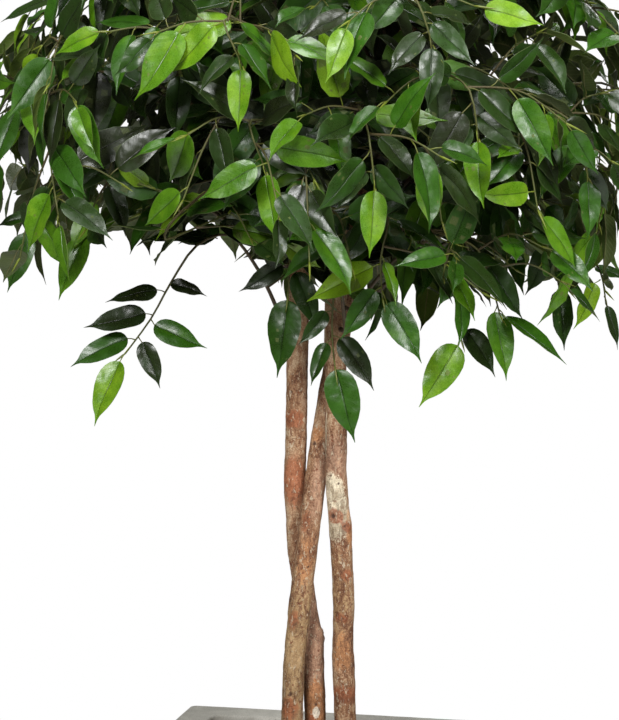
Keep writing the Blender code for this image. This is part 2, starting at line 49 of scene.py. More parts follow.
studio = {
    "yaw": 12.5,  # degrees the planter is turned from the picture
    "eye": (-0.00935, -2.600, 1.078),  # across, deep, up
    "tilt": 5.5,
    "lens": 118.18,
    "backdrop": 1.0,
    "skyLight": 0.09,
    "skyTint": (1.0, 0.96, 0.76),
    "floorRadius": 1.45,
    "floorEdge": 0.05,
    # name, where as across, deep, up, what it faces, side, watts
    "lights": (
        ("keySoftbox", (-0.95, -2.75, 2.25), (0.0, 0.0, 0.95), 0.75, 78.0),
        ("sideSoftbox", (1.70, -2.30, 2.05), (0.0, 0.0, 0.95), 0.70, 62.0),
        ("topSoftbox", (0.00, -0.30, 3.30), (0.0, 0.0, 1.0), 0.90, 42.0),
        ("backSoftbox", (0.60, 2.70, 2.20), (0.0, 0.0, 0.95), 1.4, 40.0),
    ),
}


def turned(across, deep, height):
    # From the picture's axes to the planter's own
    c = math.cos(math.radians(studio["yaw"]))
    s = math.sin(math.radians(studio["yaw"]))
    return Vector((across * c - deep * s, across * s + deep * c, height))


def setCamera():
    lens = bpy.data.cameras.new("photoCamera")
    lens.lens = studio["lens"]
    lens.sensor_width = 36.0
    lens.clip_start = 0.05
    lens.clip_end = 60.0
    camera = bpy.data.objects.new("photoCamera", lens)
    bpy.context.scene.collection.objects.link(camera)
    camera.location = turned(*studio["eye"])
    camera.rotation_euler = (math.radians(90 - studio["tilt"]), 0.0, math.radians(studio["yaw"]))
    bpy.context.scene.camera = camera


def setLights():
    for name, place, target, side, watts in studio["lights"]:
        light = bpy.data.lights.new(name, "AREA")
        light.shape = "SQUARE"
        light.size = side
        light.energy = watts
        lamp = bpy.data.objects.new(name, light)
        bpy.context.scene.collection.objects.link(lamp)
        lamp.location = turned(*place)
        lamp.rotation_euler = (turned(*target) - lamp.location).to_track_quat("-Z", "Y").to_euler()
        lamp.visible_camera = False


def setSky():
    # A white backdrop for the camera, and a softer white light all round
    world = bpy.data.worlds.new("studioSky")
    bpy.context.scene.world = world
    world.use_nodes = True
    tree = world.node_tree
    seen = tree.nodes["Background"]
    seen.inputs["Color"].default_value = (1.0, 1.0, 1.0, 1.0)
    seen.inputs["Strength"].default_value = studio["backdrop"]
    around = tree.nodes.new("ShaderNodeBackground")
    around.inputs["Color"].default_value = (*studio["skyTint"], 1.0)
    around.inputs["Strength"].default_value = studio["skyLight"]
    rays = tree.nodes.new("ShaderNodeLightPath")
    mix = tree.nodes.new("ShaderNodeMixShader")
    tree.links.new(rays.outputs["Is Camera Ray"], mix.inputs["Fac"])
    tree.links.new(around.outputs["Background"], mix.inputs[1])
    tree.links.new(seen.outputs["Background"], mix.inputs[2])
    tree.links.new(mix.outputs["Shader"], tree.nodes["World Output"].inputs["Surface"])
    bpy.context.scene.view_settings.view_transform = "Standard"
    bpy.context.scene.view_settings.look = "None"


setCamera()
setLights()
setSky()
print("studio set: camera,", len(studio["lights"]), "lights and sky")


# Finishes

def newFinish(name, roughness=0.5):
    material = bpy.data.materials.new(name)
    material.use_nodes = True
    shader = material.node_tree.nodes["Principled BSDF"]
    shader.inputs["Roughness"].default_value = roughness
    return material, material.node_tree, shader


def feed(tree, socket, value):
    # A socket takes either another node's output or a fixed value
    if isinstance(value, bpy.types.NodeSocket):
        tree.links.new(value, socket)
    else:
        socket.default_value = value


def math1(tree, operation, a, b=0.0, c=0.0, clamp=False):
    step = tree.nodes.new("ShaderNodeMath")
    step.operation = operation
    step.use_clamp = clamp
    for socket, value in zip(step.inputs, (a, b, c)):
        feed(tree, socket, value)
    return step.outputs[0]


def remap(tree, value, low, high, to=(0.0, 1.0), smooth=False):
    step = tree.nodes.new("ShaderNodeMapRange")
    step.interpolation_type = "SMOOTHSTEP" if smooth else "LINEAR"
    for socket, item in zip(step.inputs, (value, low, high, *to)):
        feed(tree, socket, item)
    return step.outputs[0]


def blendColour(tree, share, a, b, way="MIX"):
    mix = tree.nodes.new("ShaderNodeMix")
    mix.data_type = "RGBA"
    mix.blend_type = way
    mix.clamp_factor = True
    for socket, value in ((mix.inputs[0], share), (mix.inputs[6], a), (mix.inputs[7], b)):
        if isinstance(value, tuple):
            value = (*value[:3], 1.0)
        feed(tree, socket, value)
    return mix.outputs[2]


def places(tree, stretch=(1.0, 1.0, 1.0)):
    # The piece's own coordinates, stretched for grain that runs one way
    coordinates = tree.nodes.new("ShaderNodeTexCoord")
    if stretch == (1.0, 1.0, 1.0):
        return coordinates.outputs["Object"]
    mapping = tree.nodes.new("ShaderNodeMapping")
    mapping.inputs["Scale"].default_value = stretch
    tree.links.new(coordinates.outputs["Object"], mapping.inputs["Vector"])
    return mapping.outputs["Vector"]


def cloudy(tree, where, scale, detail=3.0, rough=0.55, warp=0.0):
    texture = tree.nodes.new("ShaderNodeTexNoise")
    tree.links.new(where, texture.inputs["Vector"])
    texture.inputs["Scale"].default_value = scale
    texture.inputs["Detail"].default_value = detail
    texture.inputs["Roughness"].default_value = rough
    texture.inputs["Distortion"].default_value = warp
    return texture.outputs["Fac"]


def cells(tree, where, scale, spread=1.0):
    texture = tree.nodes.new("ShaderNodeTexVoronoi")
    tree.links.new(where, texture.inputs["Vector"])
    texture.inputs["Scale"].default_value = scale
    texture.inputs["Randomness"].default_value = spread
    return texture.outputs["Distance"]


def painted(tree, name):
    # A number that the piece's mesh carries at each of its points
    attribute = tree.nodes.new("ShaderNodeAttribute")
    attribute.attribute_name = name
    return attribute


def rampOf(tree, value, stops):
    ramp = tree.nodes.new("ShaderNodeValToRGB")
    tree.links.new(value, ramp.inputs["Fac"])
    band = ramp.color_ramp
    for k, (at, colour) in enumerate(stops):
        stop = band.elements[k] if k < 2 else band.elements.new(at)
        stop.position = at
        stop.color = (*colour, 1.0)
    return ramp.outputs["Color"]


def scaled(tree, colour, amount):
    # A colour made darker or lighter
    step = tree.nodes.new("ShaderNodeVectorMath")
    step.operation = "SCALE"
    feed(tree, step.inputs[0], colour)
    feed(tree, step.inputs["Scale"], amount)
    return step.outputs[0]


def emboss(tree, shader, height, distance, strength=1.0):
    bump = tree.nodes.new("ShaderNodeBump")
    bump.inputs["Strength"].default_value = strength
    bump.inputs["Distance"].default_value = distance
    tree.links.new(height, bump.inputs["Height"])
    tree.links.new(bump.outputs["Normal"], shader.inputs["Normal"])


leafLook = {
    # from an old leaf to a young one
    "tones": (
        (0.00, (0.0150, 0.0215, 0.0060)),
        (0.28, (0.0150, 0.0420, 0.0040)),
        (0.56, (0.0260, 0.0950, 0.0035)),
        (0.80, (0.0800, 0.2000, 0.0050)),
        (1.00, (0.1800, 0.3300, 0.0100)),
    ),
    "rib": 0.45,  # how dark the groove over the midrib is painted: painted shade in the groove
    "margin": (0.120, 0.190, 0.070),
    "sideVeins": 12.0,
    "veinSlant": 0.19,
    "gloss": (0.26, 0.41),
    "specular": 0.46,
    # painted shade: how dark the innermost leaves are painted, for the shade the crown casts on them
    "inShade": 0.40,
}


def leafVeins(tree):
    # Where the midrib, the side veins and the margin run, from the blade's own across and along,
    # and the painted shade that darkens a leaf the deeper in the crown it hangs
    place = tree.nodes.new("ShaderNodeSeparateXYZ")
    tree.links.new(painted(tree, "leafPlaceAndShade").outputs["Vector"], place.inputs["Vector"])
    across = math1(tree, "ABSOLUTE", place.outputs["X"])
    rib = remap(tree, across, 0.018, 0.070, (1.0, 0.0), True)
    slant = math1(tree, "MULTIPLY_ADD", across, -leafLook["veinSlant"], place.outputs["Y"])
    cycle = math1(tree, "FRACT", math1(tree, "MULTIPLY", slant, leafLook["sideVeins"]))
    offset = math1(tree, "ABSOLUTE", math1(tree, "SUBTRACT", cycle, 0.5))
    veins = remap(tree, offset, 0.0, 0.14, (1.0, 0.0), True)
    inside = remap(tree, across, 0.80, 0.97, (1.0, 0.0), True)
    veins = math1(tree, "MULTIPLY", veins, inside)
    margin = remap(tree, across, 0.955, 0.995, (0.0, 1.0), True)
    # painted shade: darkest in the crown's middle, none at its shell
    low, high = leafLook["inShade"], 1.0
    shade = remap(tree, place.outputs["Z"], 0.0, 1.0, (low, high))
    return rib, veins, margin, shade


def makeLeafTop():
    material, tree, shader = newFinish("leafTop", 0.34)
    where = places(tree)
    tone = painted(tree, "leafTone").outputs["Fac"]
    cloud = cloudy(tree, where, 60.0, 2.0)
    crumple = cloudy(tree, where, 78.0, 1.5, 0.40)
    grain = cloudy(tree, where, 950.0, 2.0, 0.7)
    drift = math1(tree, "MULTIPLY_ADD", math1(tree, "SUBTRACT", cloud, 0.5), 0.42, tone)
    colour = rampOf(tree, drift, leafLook["tones"])
    rib, veins, margin, shade = leafVeins(tree)
    dapple = remap(tree, grain, 0.30, 0.70, (0.74, 1.28))
    dapple = math1(tree, "MULTIPLY_ADD", veins, 0.10, dapple)
    # painted shade in the groove over the midrib
    dapple = math1(tree, "MULTIPLY", dapple, math1(tree, "MULTIPLY_ADD", rib, -leafLook["rib"], 1.0))
    # painted shade for how deep in the crown the leaf hangs
    colour = scaled(tree, colour, math1(tree, "MULTIPLY", dapple, shade))
    colour = blendColour(tree, math1(tree, "MULTIPLY", margin, 0.40), colour, leafLook["margin"])
    tree.links.new(colour, shader.inputs["Base Color"])
    shader.inputs["Specular IOR Level"].default_value = leafLook["specular"]
    low, high = leafLook["gloss"]
    gloss = remap(tree, grain, 0.30, 0.72, (low, high))
    smudge = math1(tree, "MULTIPLY", math1(tree, "SUBTRACT", cloud, 0.5), 0.30)
    tree.links.new(math1(tree, "ADD", gloss, smudge, clamp=True), shader.inputs["Roughness"])
    relief = math1(tree, "MULTIPLY", veins, 0.08)
    relief = math1(tree, "MULTIPLY_ADD", rib, -1.0, relief)
    relief = math1(tree, "MULTIPLY_ADD", grain, 0.16, relief)
    relief = math1(tree, "MULTIPLY_ADD", crumple, 3.2, relief)
    emboss(tree, shader, relief, 0.00040)
    return material


def makeLeafUnder():
    material, tree, shader = newFinish("leafUnder", 0.58)
    where = places(tree)
    tone = painted(tree, "leafTone").outputs["Fac"]
    colour = rampOf(tree, tone, (
        (0.0, (0.040, 0.054, 0.008)), (0.6, (0.066, 0.105, 0.008)), (1.0, (0.130, 0.210, 0.010))))
    rib, veins, margin, shade = leafVeins(tree)
    grain = cloudy(tree, where, 700.0, 2.0)
    colour = blendColour(tree, remap(tree, grain, 0.35, 0.7, (0.0, 0.30)), colour, (0.11, 0.15, 0.045))
    colour = blendColour(tree, math1(tree, "MULTIPLY", veins, 0.20), colour, (0.16, 0.20, 0.07))
    colour = blendColour(tree, math1(tree, "MULTIPLY", rib, 0.70), colour, (0.230, 0.200, 0.075))
    # painted shade for how deep in the crown the leaf hangs
    colour = scaled(tree, colour, shade)
    tree.links.new(colour, shader.inputs["Base Color"])
    tree.links.new(remap(tree, grain, 0.3, 0.7, (0.50, 0.68)), shader.inputs["Roughness"])
    relief = math1(tree, "MULTIPLY_ADD", veins, 0.8, math1(tree, "MULTIPLY", rib, 1.5))
    emboss(tree, shader, math1(tree, "MULTIPLY_ADD", grain, 0.5, relief), 0.0003)
    return material


def makeTwigBark():
    material, tree, shader = newFinish("twigBark", 0.62)
    age = painted(tree, "leafTone").outputs["Fac"]
    streaks = cloudy(tree, places(tree, (1.0, 1.0, 0.35)), 420.0, 3.0)
    mixed = math1(tree, "MULTIPLY_ADD", math1(tree, "SUBTRACT", streaks, 0.5), 0.7, age)
    colour = rampOf(tree, mixed, (
        (0.0, (0.068, 0.038, 0.020)), (0.40, (0.070, 0.050, 0.018)),
        (0.70, (0.072, 0.074, 0.017)), (1.0, (0.090, 0.112, 0.018))))
    pores = remap(tree, cells(tree, places(tree), 900.0), 0.10, 0.28, (0.55, 0.0), True)
    colour = blendColour(tree, pores, colour, (0.300, 0.220, 0.130))
    tree.links.new(colour, shader.inputs["Base Color"])
    emboss(tree, shader, math1(tree, "MULTIPLY_ADD", pores, 0.8, streaks), 0.0004)
    return material


def makeYoungStalk():
    material, tree, shader = newFinish("youngStalk", 0.42)
    tone = painted(tree, "leafTone").outputs["Fac"]
    tint = cloudy(tree, places(tree), 260.0, 2.0)
    mixed = math1(tree, "MULTIPLY_ADD", math1(tree, "SUBTRACT", tint, 0.5), 0.5, tone)
    colour = rampOf(tree, mixed, (
        (0.0, (0.085, 0.070, 0.020)), (0.5, (0.110, 0.120, 0.020)), (1.0, (0.180, 0.230, 0.020))))
    tree.links.new(colour, shader.inputs["Base Color"])
    tree.links.new(remap(tree, tint, 0.3, 0.7, (0.34, 0.52)), shader.inputs["Roughness"])
    emboss(tree, shader, tint, 0.0002)
    return material


barkLook = {
    "brown": ((0.22, (0.120, 0.042, 0.017)), (0.36, (0.235, 0.105, 0.048)), (0.49, (0.345, 0.182, 0.092)),
              (0.62, (0.450, 0.275, 0.155)), (0.78, (0.620, 0.460, 0.305))),
    "cream": (0.760, 0.670, 0.500),
    "creamShade": (0.560, 0.440, 0.290),
    "rust": (0.330, 0.100, 0.038),
    "orange": (0.450, 0.195, 0.075),
    "mauve": (0.400, 0.225, 0.145),
    "moss": (0.400, 0.262, 0.120),
    # the colour of the painted shade in the scars' pits, and of one dark patch of the bark
    "dark": (0.060, 0.024, 0.014),
    "chip": (0.700, 0.620, 0.500),
    "fleck": (0.220, 0.062, 0.024),
    "flake": (0.640, 0.520, 0.370),
}


def makeStemBark():
    material, tree, shader = newFinish("stemBark", 0.72)
    where = places(tree)
    grainWay = places(tree, (1.0, 1.0, 0.50))
    broad = cloudy(tree, grainWay, 36.0, 4.0, 0.62, 0.6)
    mottle = cloudy(tree, grainWay, 170.0, 5.0, 0.70, 0.6)
    speckle = cloudy(tree, where, 620.0, 3.0, 0.75)
    tint = math1(tree, "MULTIPLY_ADD", math1(tree, "SUBTRACT", mottle, 0.5), 1.25, broad)
    tint = math1(tree, "MULTIPLY_ADD", math1(tree, "SUBTRACT", speckle, 0.5), 1.05, tint)
    colour = rampOf(tree, tint, barkLook["brown"])
    shade = remap(tree, tint, 0.24, 0.74, (0.55, 1.35))

    def coat(colour, name, onto, soft=0.10, breakUp=0.75, most=1.0):
        # One painted patch, grained like the bark and with an edge broken up by it
        amount = painted(tree, name).outputs["Fac"]
        ragged = math1(tree, "MULTIPLY_ADD", math1(tree, "SUBTRACT", mottle, 0.5), breakUp * 2.0, amount)
        ragged = math1(tree, "MULTIPLY_ADD", math1(tree, "SUBTRACT", speckle, 0.5), 0.8, ragged)
        ragged = math1(tree, "MULTIPLY_ADD", math1(tree, "SUBTRACT", broad, 0.5), 0.9, ragged)
        share = remap(tree, ragged, 0.5 - soft, 0.5 + soft, (0.0, most), True)
        return blendColour(tree, share, colour, scaled(tree, onto, shade))

    colour = coat(colour, "mauveCoat", barkLook["mauve"], 0.30, 0.6, 0.70)
    colour = coat(colour, "mossCoat", barkLook["moss"], 0.30, 1.0, 0.70)
    cream = blendColour(tree, remap(tree, mottle, 0.40, 0.60), barkLook["creamShade"], barkLook["cream"])
    colour = coat(colour, "creamCoat", cream, 0.14, 0.55, 0.96)
    colour = coat(colour, "orangeCoat", barkLook["orange"], 0.26, 0.8, 0.78)
    colour = coat(colour, "rustCoat", barkLook["rust"], 0.24, 0.9, 0.82)
    colour = coat(colour, "chipCoat", barkLook["chip"], 0.12, 0.5, 0.95)
    flecks = remap(tree, cloudy(tree, where, 210.0, 3.0, 0.6, 1.2), 0.585, 0.64, (0.0, 1.0), True)
    few = remap(tree, cloudy(tree, where, 34.0, 2.0), 0.44, 0.60, (0.15, 0.90), True)
    flecks = math1(tree, "MULTIPLY", flecks, few)
    colour = blendColour(tree, flecks, colour, barkLook["fleck"])
    flakes = remap(tree, cloudy(tree, grainWay, 330.0, 3.0, 0.6, 0.8), 0.59, 0.64, (0.0, 0.75), True)
    colour = blendColour(tree, flakes, colour, barkLook["flake"])
    # painted shade in the scars' pits, and a dark patch of the bark
    colour = coat(colour, "pitShadeAndDarkPatch", barkLook["dark"], 0.20, 0.4, 0.95)
    tree.links.new(colour, shader.inputs["Base Color"])
    tree.links.new(remap(tree, speckle, 0.3, 0.7, (0.60, 0.82)), shader.inputs["Roughness"])
    relief = math1(tree, "MULTIPLY_ADD", speckle, 0.60, mottle)
    relief = math1(tree, "MULTIPLY_ADD", flecks, -0.40, relief)
    relief = math1(tree, "MULTIPLY_ADD", flakes, 0.25, relief)
    emboss(tree, shader, relief, 0.0016)
    return material


concreteLook = {
    "base": ((0.26, (0.290, 0.278, 0.244)), (0.50, (0.400, 0.388, 0.346)), (0.76, (0.500, 0.488, 0.440))),
    "pore": (0.150, 0.142, 0.122),
    "grit": (0.500, 0.490, 0.450),
}


def makeConcrete():
    material, tree, shader = newFinish("castConcrete", 0.86)
    where = places(tree)
    broad = cloudy(tree, where, 9.0, 4.0, 0.55, 0.4)
    mottle = cloudy(tree, where, 70.0, 4.0, 0.6)
    grit = cloudy(tree, where, 900.0, 2.0, 0.7)
    tint = math1(tree, "MULTIPLY_ADD", math1(tree, "SUBTRACT", mottle, 0.5), 0.65, broad)
    tint = math1(tree, "MULTIPLY_ADD", math1(tree, "SUBTRACT", grit, 0.5), 1.10, tint)
    colour = rampOf(tree, tint, concreteLook["base"])
    # painted shade: the inside wall below the rim painted darker, for the shade in the planter's recess
    recessShade = painted(tree, "insideWallShade").outputs["Fac"]
    colour = blendColour(tree, math1(tree, "MULTIPLY", recessShade, 0.35), colour, (0.235, 0.215, 0.175))
    pores = remap(tree, cells(tree, where, 240.0), 0.06, 0.17, (1.0, 0.0), True)
    few = remap(tree, cloudy(tree, where, 45.0, 2.0), 0.50, 0.60, (0.0, 1.0), True)
    pores = math1(tree, "MULTIPLY", pores, few)
    colour = blendColour(tree, math1(tree, "MULTIPLY", pores, 0.7), colour, concreteLook["pore"])
    grains = remap(tree, cells(tree, where, 620.0), 0.10, 0.22, (0.55, 0.0), True)
    colour = blendColour(tree, grains, colour, concreteLook["grit"])
    tree.links.new(colour, shader.inputs["Base Color"])
    tree.links.new(remap(tree, mottle, 0.3, 0.7, (0.80, 0.92)), shader.inputs["Roughness"])
    relief = math1(tree, "MULTIPLY_ADD", grit, 0.30, mottle)
    relief = math1(tree, "MULTIPLY_ADD", pores, -1.2, relief)
    emboss(tree, shader, relief, 0.0006)
    return material


def makeSoilFinish():
    material, tree, shader = newFinish("pottingSoil", 0.94)
    where = places(tree)
    lumps = cloudy(tree, where, 160.0, 5.0, 0.65)
    fibres = cloudy(tree, places(tree, (1.0, 0.25, 1.0)), 420.0, 3.0)
    tint = math1(tree, "MULTIPLY_ADD", math1(tree, "SUBTRACT", fibres, 0.5), 0.5, lumps)
    colour = rampOf(tree, tint, (
        (0.30, (0.018, 0.011, 0.007)), (0.52, (0.050, 0.032, 0.019)), (0.75, (0.110, 0.074, 0.044))))
    perlite = painted(tree, "pale").outputs["Fac"]
    colour = blendColour(tree, perlite, colour, (0.560, 0.530, 0.470))
    tree.links.new(colour, shader.inputs["Base Color"])
    emboss(tree, shader, math1(tree, "MULTIPLY_ADD", fibres, 0.5, lumps), 0.0018)
    return material


def makeFloorFinish():
    material, tree, shader = newFinish("paleFloor", 0.85)
    tint = cloudy(tree, places(tree), 2.5, 2.0)
    colour = rampOf(tree, tint, ((0.3, (0.800, 0.800, 0.795)), (0.7, (0.830, 0.830, 0.825))))
    tree.links.new(colour, shader.inputs["Base Color"])
    return material


finishes = {
    "leafTop": makeLeafTop(),
    "leafUnder": makeLeafUnder(),
    "twigBark": makeTwigBark(),
    "youngStalk": makeYoungStalk(),
    "stemBark": makeStemBark(),
    "castConcrete": makeConcrete(),
    "pottingSoil": makeSoilFinish(),
    "paleFloor": makeFloorFinish(),
}
sprayFinishes = ("leafTop", "leafUnder", "twigBark", "youngStalk")
print("finishes made:", len(finishes))


# Lines and meshes

def smoothLine(points, steps):
    # A curve through every point, with that many steps between two of them
    line = []
    last = len(points) - 1
    for i in range(last):
        before = points[max(i - 1, 0)]
        a = points[i]
        b = points[i + 1]
        after = points[min(i + 2, last)]
        for k in range(steps):
            t = k / steps
            line.append(0.5 * (2 * a + (b - before) * t
                               + (2 * before - 5 * a + 4 * b - after) * t * t
                               + (3 * a - before - 3 * b + after) * t * t * t))
    line.append(points[last].copy())
    return line


def lineLengths(line):
    run = [0.0]
    for a, b in zip(line, line[1:]):
        run.append(run[-1] + (b - a).length)
    return run


def evenLine(line, count):
    # The same curve with count + 1 points, evenly spaced
    run = lineLengths(line)
    even = []
    j = 0
    for k in range(count + 1):
        at = run[-1] * k / count
        while j < len(run) - 2 and run[j + 1] < at:
            j += 1
        even.append(line[j].lerp(line[j + 1], (at - run[j]) / (run[j + 1] - run[j])))
    return even


def tangentAt(line, i):
    return (line[min(i + 1, len(line) - 1)] - line[max(i - 1, 0)]).normalized()


def pointOn(line, share):
    at = share * (len(line) - 1)
    i = min(int(at), len(line) - 2)
    return line[i].lerp(line[i + 1], at - i), (line[i + 1] - line[i]).normalized()


def tube(line, radii, sides):
    # Rings square to the line, carried along it without twist, with closed ends
    verts = []
    across = tangentAt(line, 0).orthogonal().normalized()
    before = tangentAt(line, 0)
    for i, point in enumerate(line):
        tangent = tangentAt(line, i)
        across = before.rotation_difference(tangent) @ across
        before = tangent
        other = tangent.cross(across)
        for k in range(sides):
            turn = math.tau * k / sides
            verts.append(point + radii[i] * (math.cos(turn) * across + math.sin(turn) * other))
    faces = []
    for i in range(len(line) - 1):
        for k in range(sides):
            a = i * sides + k
            b = i * sides + (k + 1) % sides
            faces.append((a, b, b + sides, a + sides))
    faces.append(tuple(reversed(range(sides))))
    faces.append(tuple(range((len(line) - 1) * sides, len(line) * sides)))
    return verts, faces


def newPile():
    # What one piece is gathered in before its mesh is made
    return {"verts": [], "faces": [], "finish": [], "tone": [], "place": [], "rims": [], "count": 0}


def addPart(pile, verts, faces, finish, tone, place=None):
    # Finish is one number or one for each face, tone one number or one for each point
    verts = np.asarray(verts, float).reshape(-1, 3)
    start = pile["count"]
    if isinstance(faces, np.ndarray):
        pile["faces"] += (faces + start).tolist()
    else:
        pile["faces"] += [[i + start for i in face] for face in faces]
    pile["verts"].append(verts)
    pile["finish"].append(np.broadcast_to(np.asarray(finish), (len(faces),)))
    pile["tone"].append(np.broadcast_to(np.asarray(tone, float), (len(verts),)))
    pile["place"].append(np.zeros((len(verts), 3)) if place is None else place)
    pile["count"] += len(verts)


def putAttribute(mesh, name, kind, values):
    attribute = mesh.attributes.new(name, kind, "POINT")
    field = "vector" if kind == "FLOAT_VECTOR" else "value"
    attribute.data.foreach_set(field, np.asarray(values, np.float32).ravel())


def newPiece(name, verts, faces, finishNames, smooth=True):
    mesh = bpy.data.meshes.new(name)
    mesh.from_pydata(verts, [], faces)
    mesh.update(calc_edges=True)
    for finish in finishNames:
        mesh.materials.append(finishes[finish])
    if smooth:
        mesh.shade_smooth()
    piece = bpy.data.objects.new(name, mesh)
    bpy.context.scene.collection.objects.link(piece)
    return piece


def pushOut(mesh, distance):
    # Each point moved along its own normal by what distance says for its place
    count = len(mesh.vertices)
    spots = np.empty(count * 3)
    mesh.vertices.foreach_get("co", spots)
    normals = np.empty(count * 3)
    mesh.vertices.foreach_get("normal", normals)
    spots = spots.reshape(-1, 3)
    moves = np.array([distance(Vector(p)) for p in spots])
    spots += normals.reshape(-1, 3) * moves[:, None]
    mesh.vertices.foreach_set("co", spots.ravel())
    mesh.update()


# The planter and its soil

planterShape = {
    "side": 0.406,
    "height": 0.380,
    "rim": 0.0387,
    "floor": 0.040,
    "outerCorner": 0.007,
    "innerCorner": 0.014,
    "edge": 0.0030,
    "perSide": 46,
    "perCorner": 6,
    "wallStep": 0.016,
    "rimUneven": 0.00035,
    "outsideUneven": 0.00030,
    "insideRough": 0.00110,
}

soilShape = {
    "belowRim": 0.034,
    "mound": 0.007,
    "rings": 44,
    "lumps": 0.0030,
    "crumbs": 420,
    "crumbSize": (0.0012, 0.0042),
    "paleShare": 0.10,
}


def squareOutline(half, corner):
    # A rounded square seen from above, always with the same number of points
    spots = []
    for quarter in range(4):
        turn = Matrix.Rotation(math.pi / 2 * quarter, 2)
        inner = half - corner
        for k in range(planterShape["perCorner"] + 1):
            angle = math.pi / 2 * k / planterShape["perCorner"]
            bend = Vector((math.cos(angle), math.sin(angle))) * corner
            spots.append(turn @ (Vector((inner, inner)) + bend))
        for k in range(1, planterShape["perSide"]):
            along = inner - 2 * inner * k / planterShape["perSide"]
            spots.append(turn @ Vector((along, half)))
    return spots


def loft(rings):
    # Rings of equal count joined one to the next, the first and last closed flat
    count = len(rings[0])
    verts = [spot for ring in rings for spot in ring]
    faces = []
    for i in range(len(rings) - 1):
        for k in range(count):
            a = i * count + k
            b = i * count + (k + 1) % count
            faces.append((a, b, b + count, a + count))
    faces.append(tuple(reversed(range(count))))
    faces.append(tuple(range((len(rings) - 1) * count, len(rings) * count)))
    return verts, faces


def steps(a, b, size):
    count = max(1, round(abs(b - a) / size))
    return [a + (b - a) * k / count for k in range(1, count + 1)]


def planterProfile():
    # Half width, corner and height, up the outside, over the rim and down the inside
    shape = planterShape
    half = shape["side"] / 2
    inner = half - shape["rim"]
    edge = shape["edge"]
    top = shape["height"]
    profile = [(half - edge, shape["outerCorner"], 0.0)]
    for k in range(1, 4):
        turn = math.pi / 2 * k / 3
        profile.append((half - edge + edge * math.sin(turn), shape["outerCorner"],
                        edge - edge * math.cos(turn)))
    profile += [(half, shape["outerCorner"], z) for z in steps(edge, top - edge, shape["wallStep"])]
    for k in range(1, 5):
        turn = math.pi / 2 * k / 4
        profile.append((half - edge + edge * math.cos(turn), shape["outerCorner"],
                        top - edge + edge * math.sin(turn)))
    for w in steps(half - edge, inner + edge, 0.004):
        share = (half - w) / shape["rim"]
        corner = shape["outerCorner"] + (shape["innerCorner"] - shape["outerCorner"]) * share
        profile.append((w, corner, top))
    for k in range(1, 5):
        turn = math.pi / 2 * k / 4
        profile.append((inner + edge - edge * math.sin(turn), shape["innerCorner"],
                        top - edge + edge * math.cos(turn)))
    low = shape["floor"]
    profile += [(inner, shape["innerCorner"], z) for z in steps(top - edge, top - 0.055, 0.005)]
    profile += [(inner, shape["innerCorner"], z) for z in steps(top - 0.055, low, 0.045)]
    profile += [(inner * share, shape["innerCorner"] * share, low) for share in (0.7, 0.35, 0.08)]
    return profile


def planterUneven(spot):
    # How far the cast surface stands out at a place
    shape = planterShape
    inside = shape["side"] / 2 - shape["rim"] + 0.0012
    wide = max(abs(spot.x), abs(spot.y))
    slow = noise.noise(spot * 22.0)
    fine = noise.fractal(spot * 130.0, 0.7, 2.2, 3)
    if wide < inside and spot.z < shape["height"] - 0.0025:
        return shape["insideRough"] * (0.55 * noise.noise(spot * 75.0) + 0.45 * fine)
    if spot.z > shape["height"] - shape["edge"]:
        return shape["rimUneven"] * (0.7 * slow + 0.3 * fine)
    return shape["outsideUneven"] * (0.7 * slow + 0.3 * fine)


def makePlanter():
    rings = [[(p.x, p.y, z) for p in squareOutline(half, corner)] for half, corner, z in planterProfile()]
    piece = newPiece("castPlanter", *loft(rings), ("castConcrete",))
    pushOut(piece.data, planterUneven)
    inside = planterShape["side"] / 2 - planterShape["rim"] + 0.002
    # painted shade: the inside wall below the rim is marked for a darker colour
    rough = []
    for vert in piece.data.vertices:
        below = vert.co.z < planterShape["height"] - 0.003
        rough.append(1.0 if below and max(abs(vert.co.x), abs(vert.co.y)) < inside else 0.0)
    putAttribute(piece.data, "insideWallShade", "FLOAT", rough)
    piece.data.set_sharp_from_angle(angle=math.radians(60))
    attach(piece, "root")
    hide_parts("planter")


def crumb(chance, place, size):
    # One angular lump: an octahedron with its points drawn in and out
    verts = []
    for way in ((1, 0, 0), (-1, 0, 0), (0, 1, 0), (0, -1, 0), (0, 0, 1), (0, 0, -1)):
        verts.append(Vector(way) * size * chance.uniform(0.6, 1.25))
    turn = Matrix.Rotation(chance.uniform(0, math.tau), 3, "Z") @ Matrix.Rotation(
        chance.uniform(0, math.tau), 3, "X")
    faces = [(0, 2, 4), (2, 1, 4), (1, 3, 4), (3, 0, 4), (2, 0, 5), (1, 2, 5), (3, 1, 5), (0, 3, 5)]
    return [place + turn @ v for v in verts], faces


def soilHeight(x, y, share):
    top = planterShape["height"] - soilShape["belowRim"]
    dome = soilShape["mound"] * min(max((share - 0.5) / 0.5, 0.0), 1.0) ** 2
    spot = Vector((x, y, 0.0))
    lumps = noise.fractal(spot * 55.0, 0.8, 2.1, 4)
    return top - dome - 0.0015 + soilShape["lumps"] * lumps


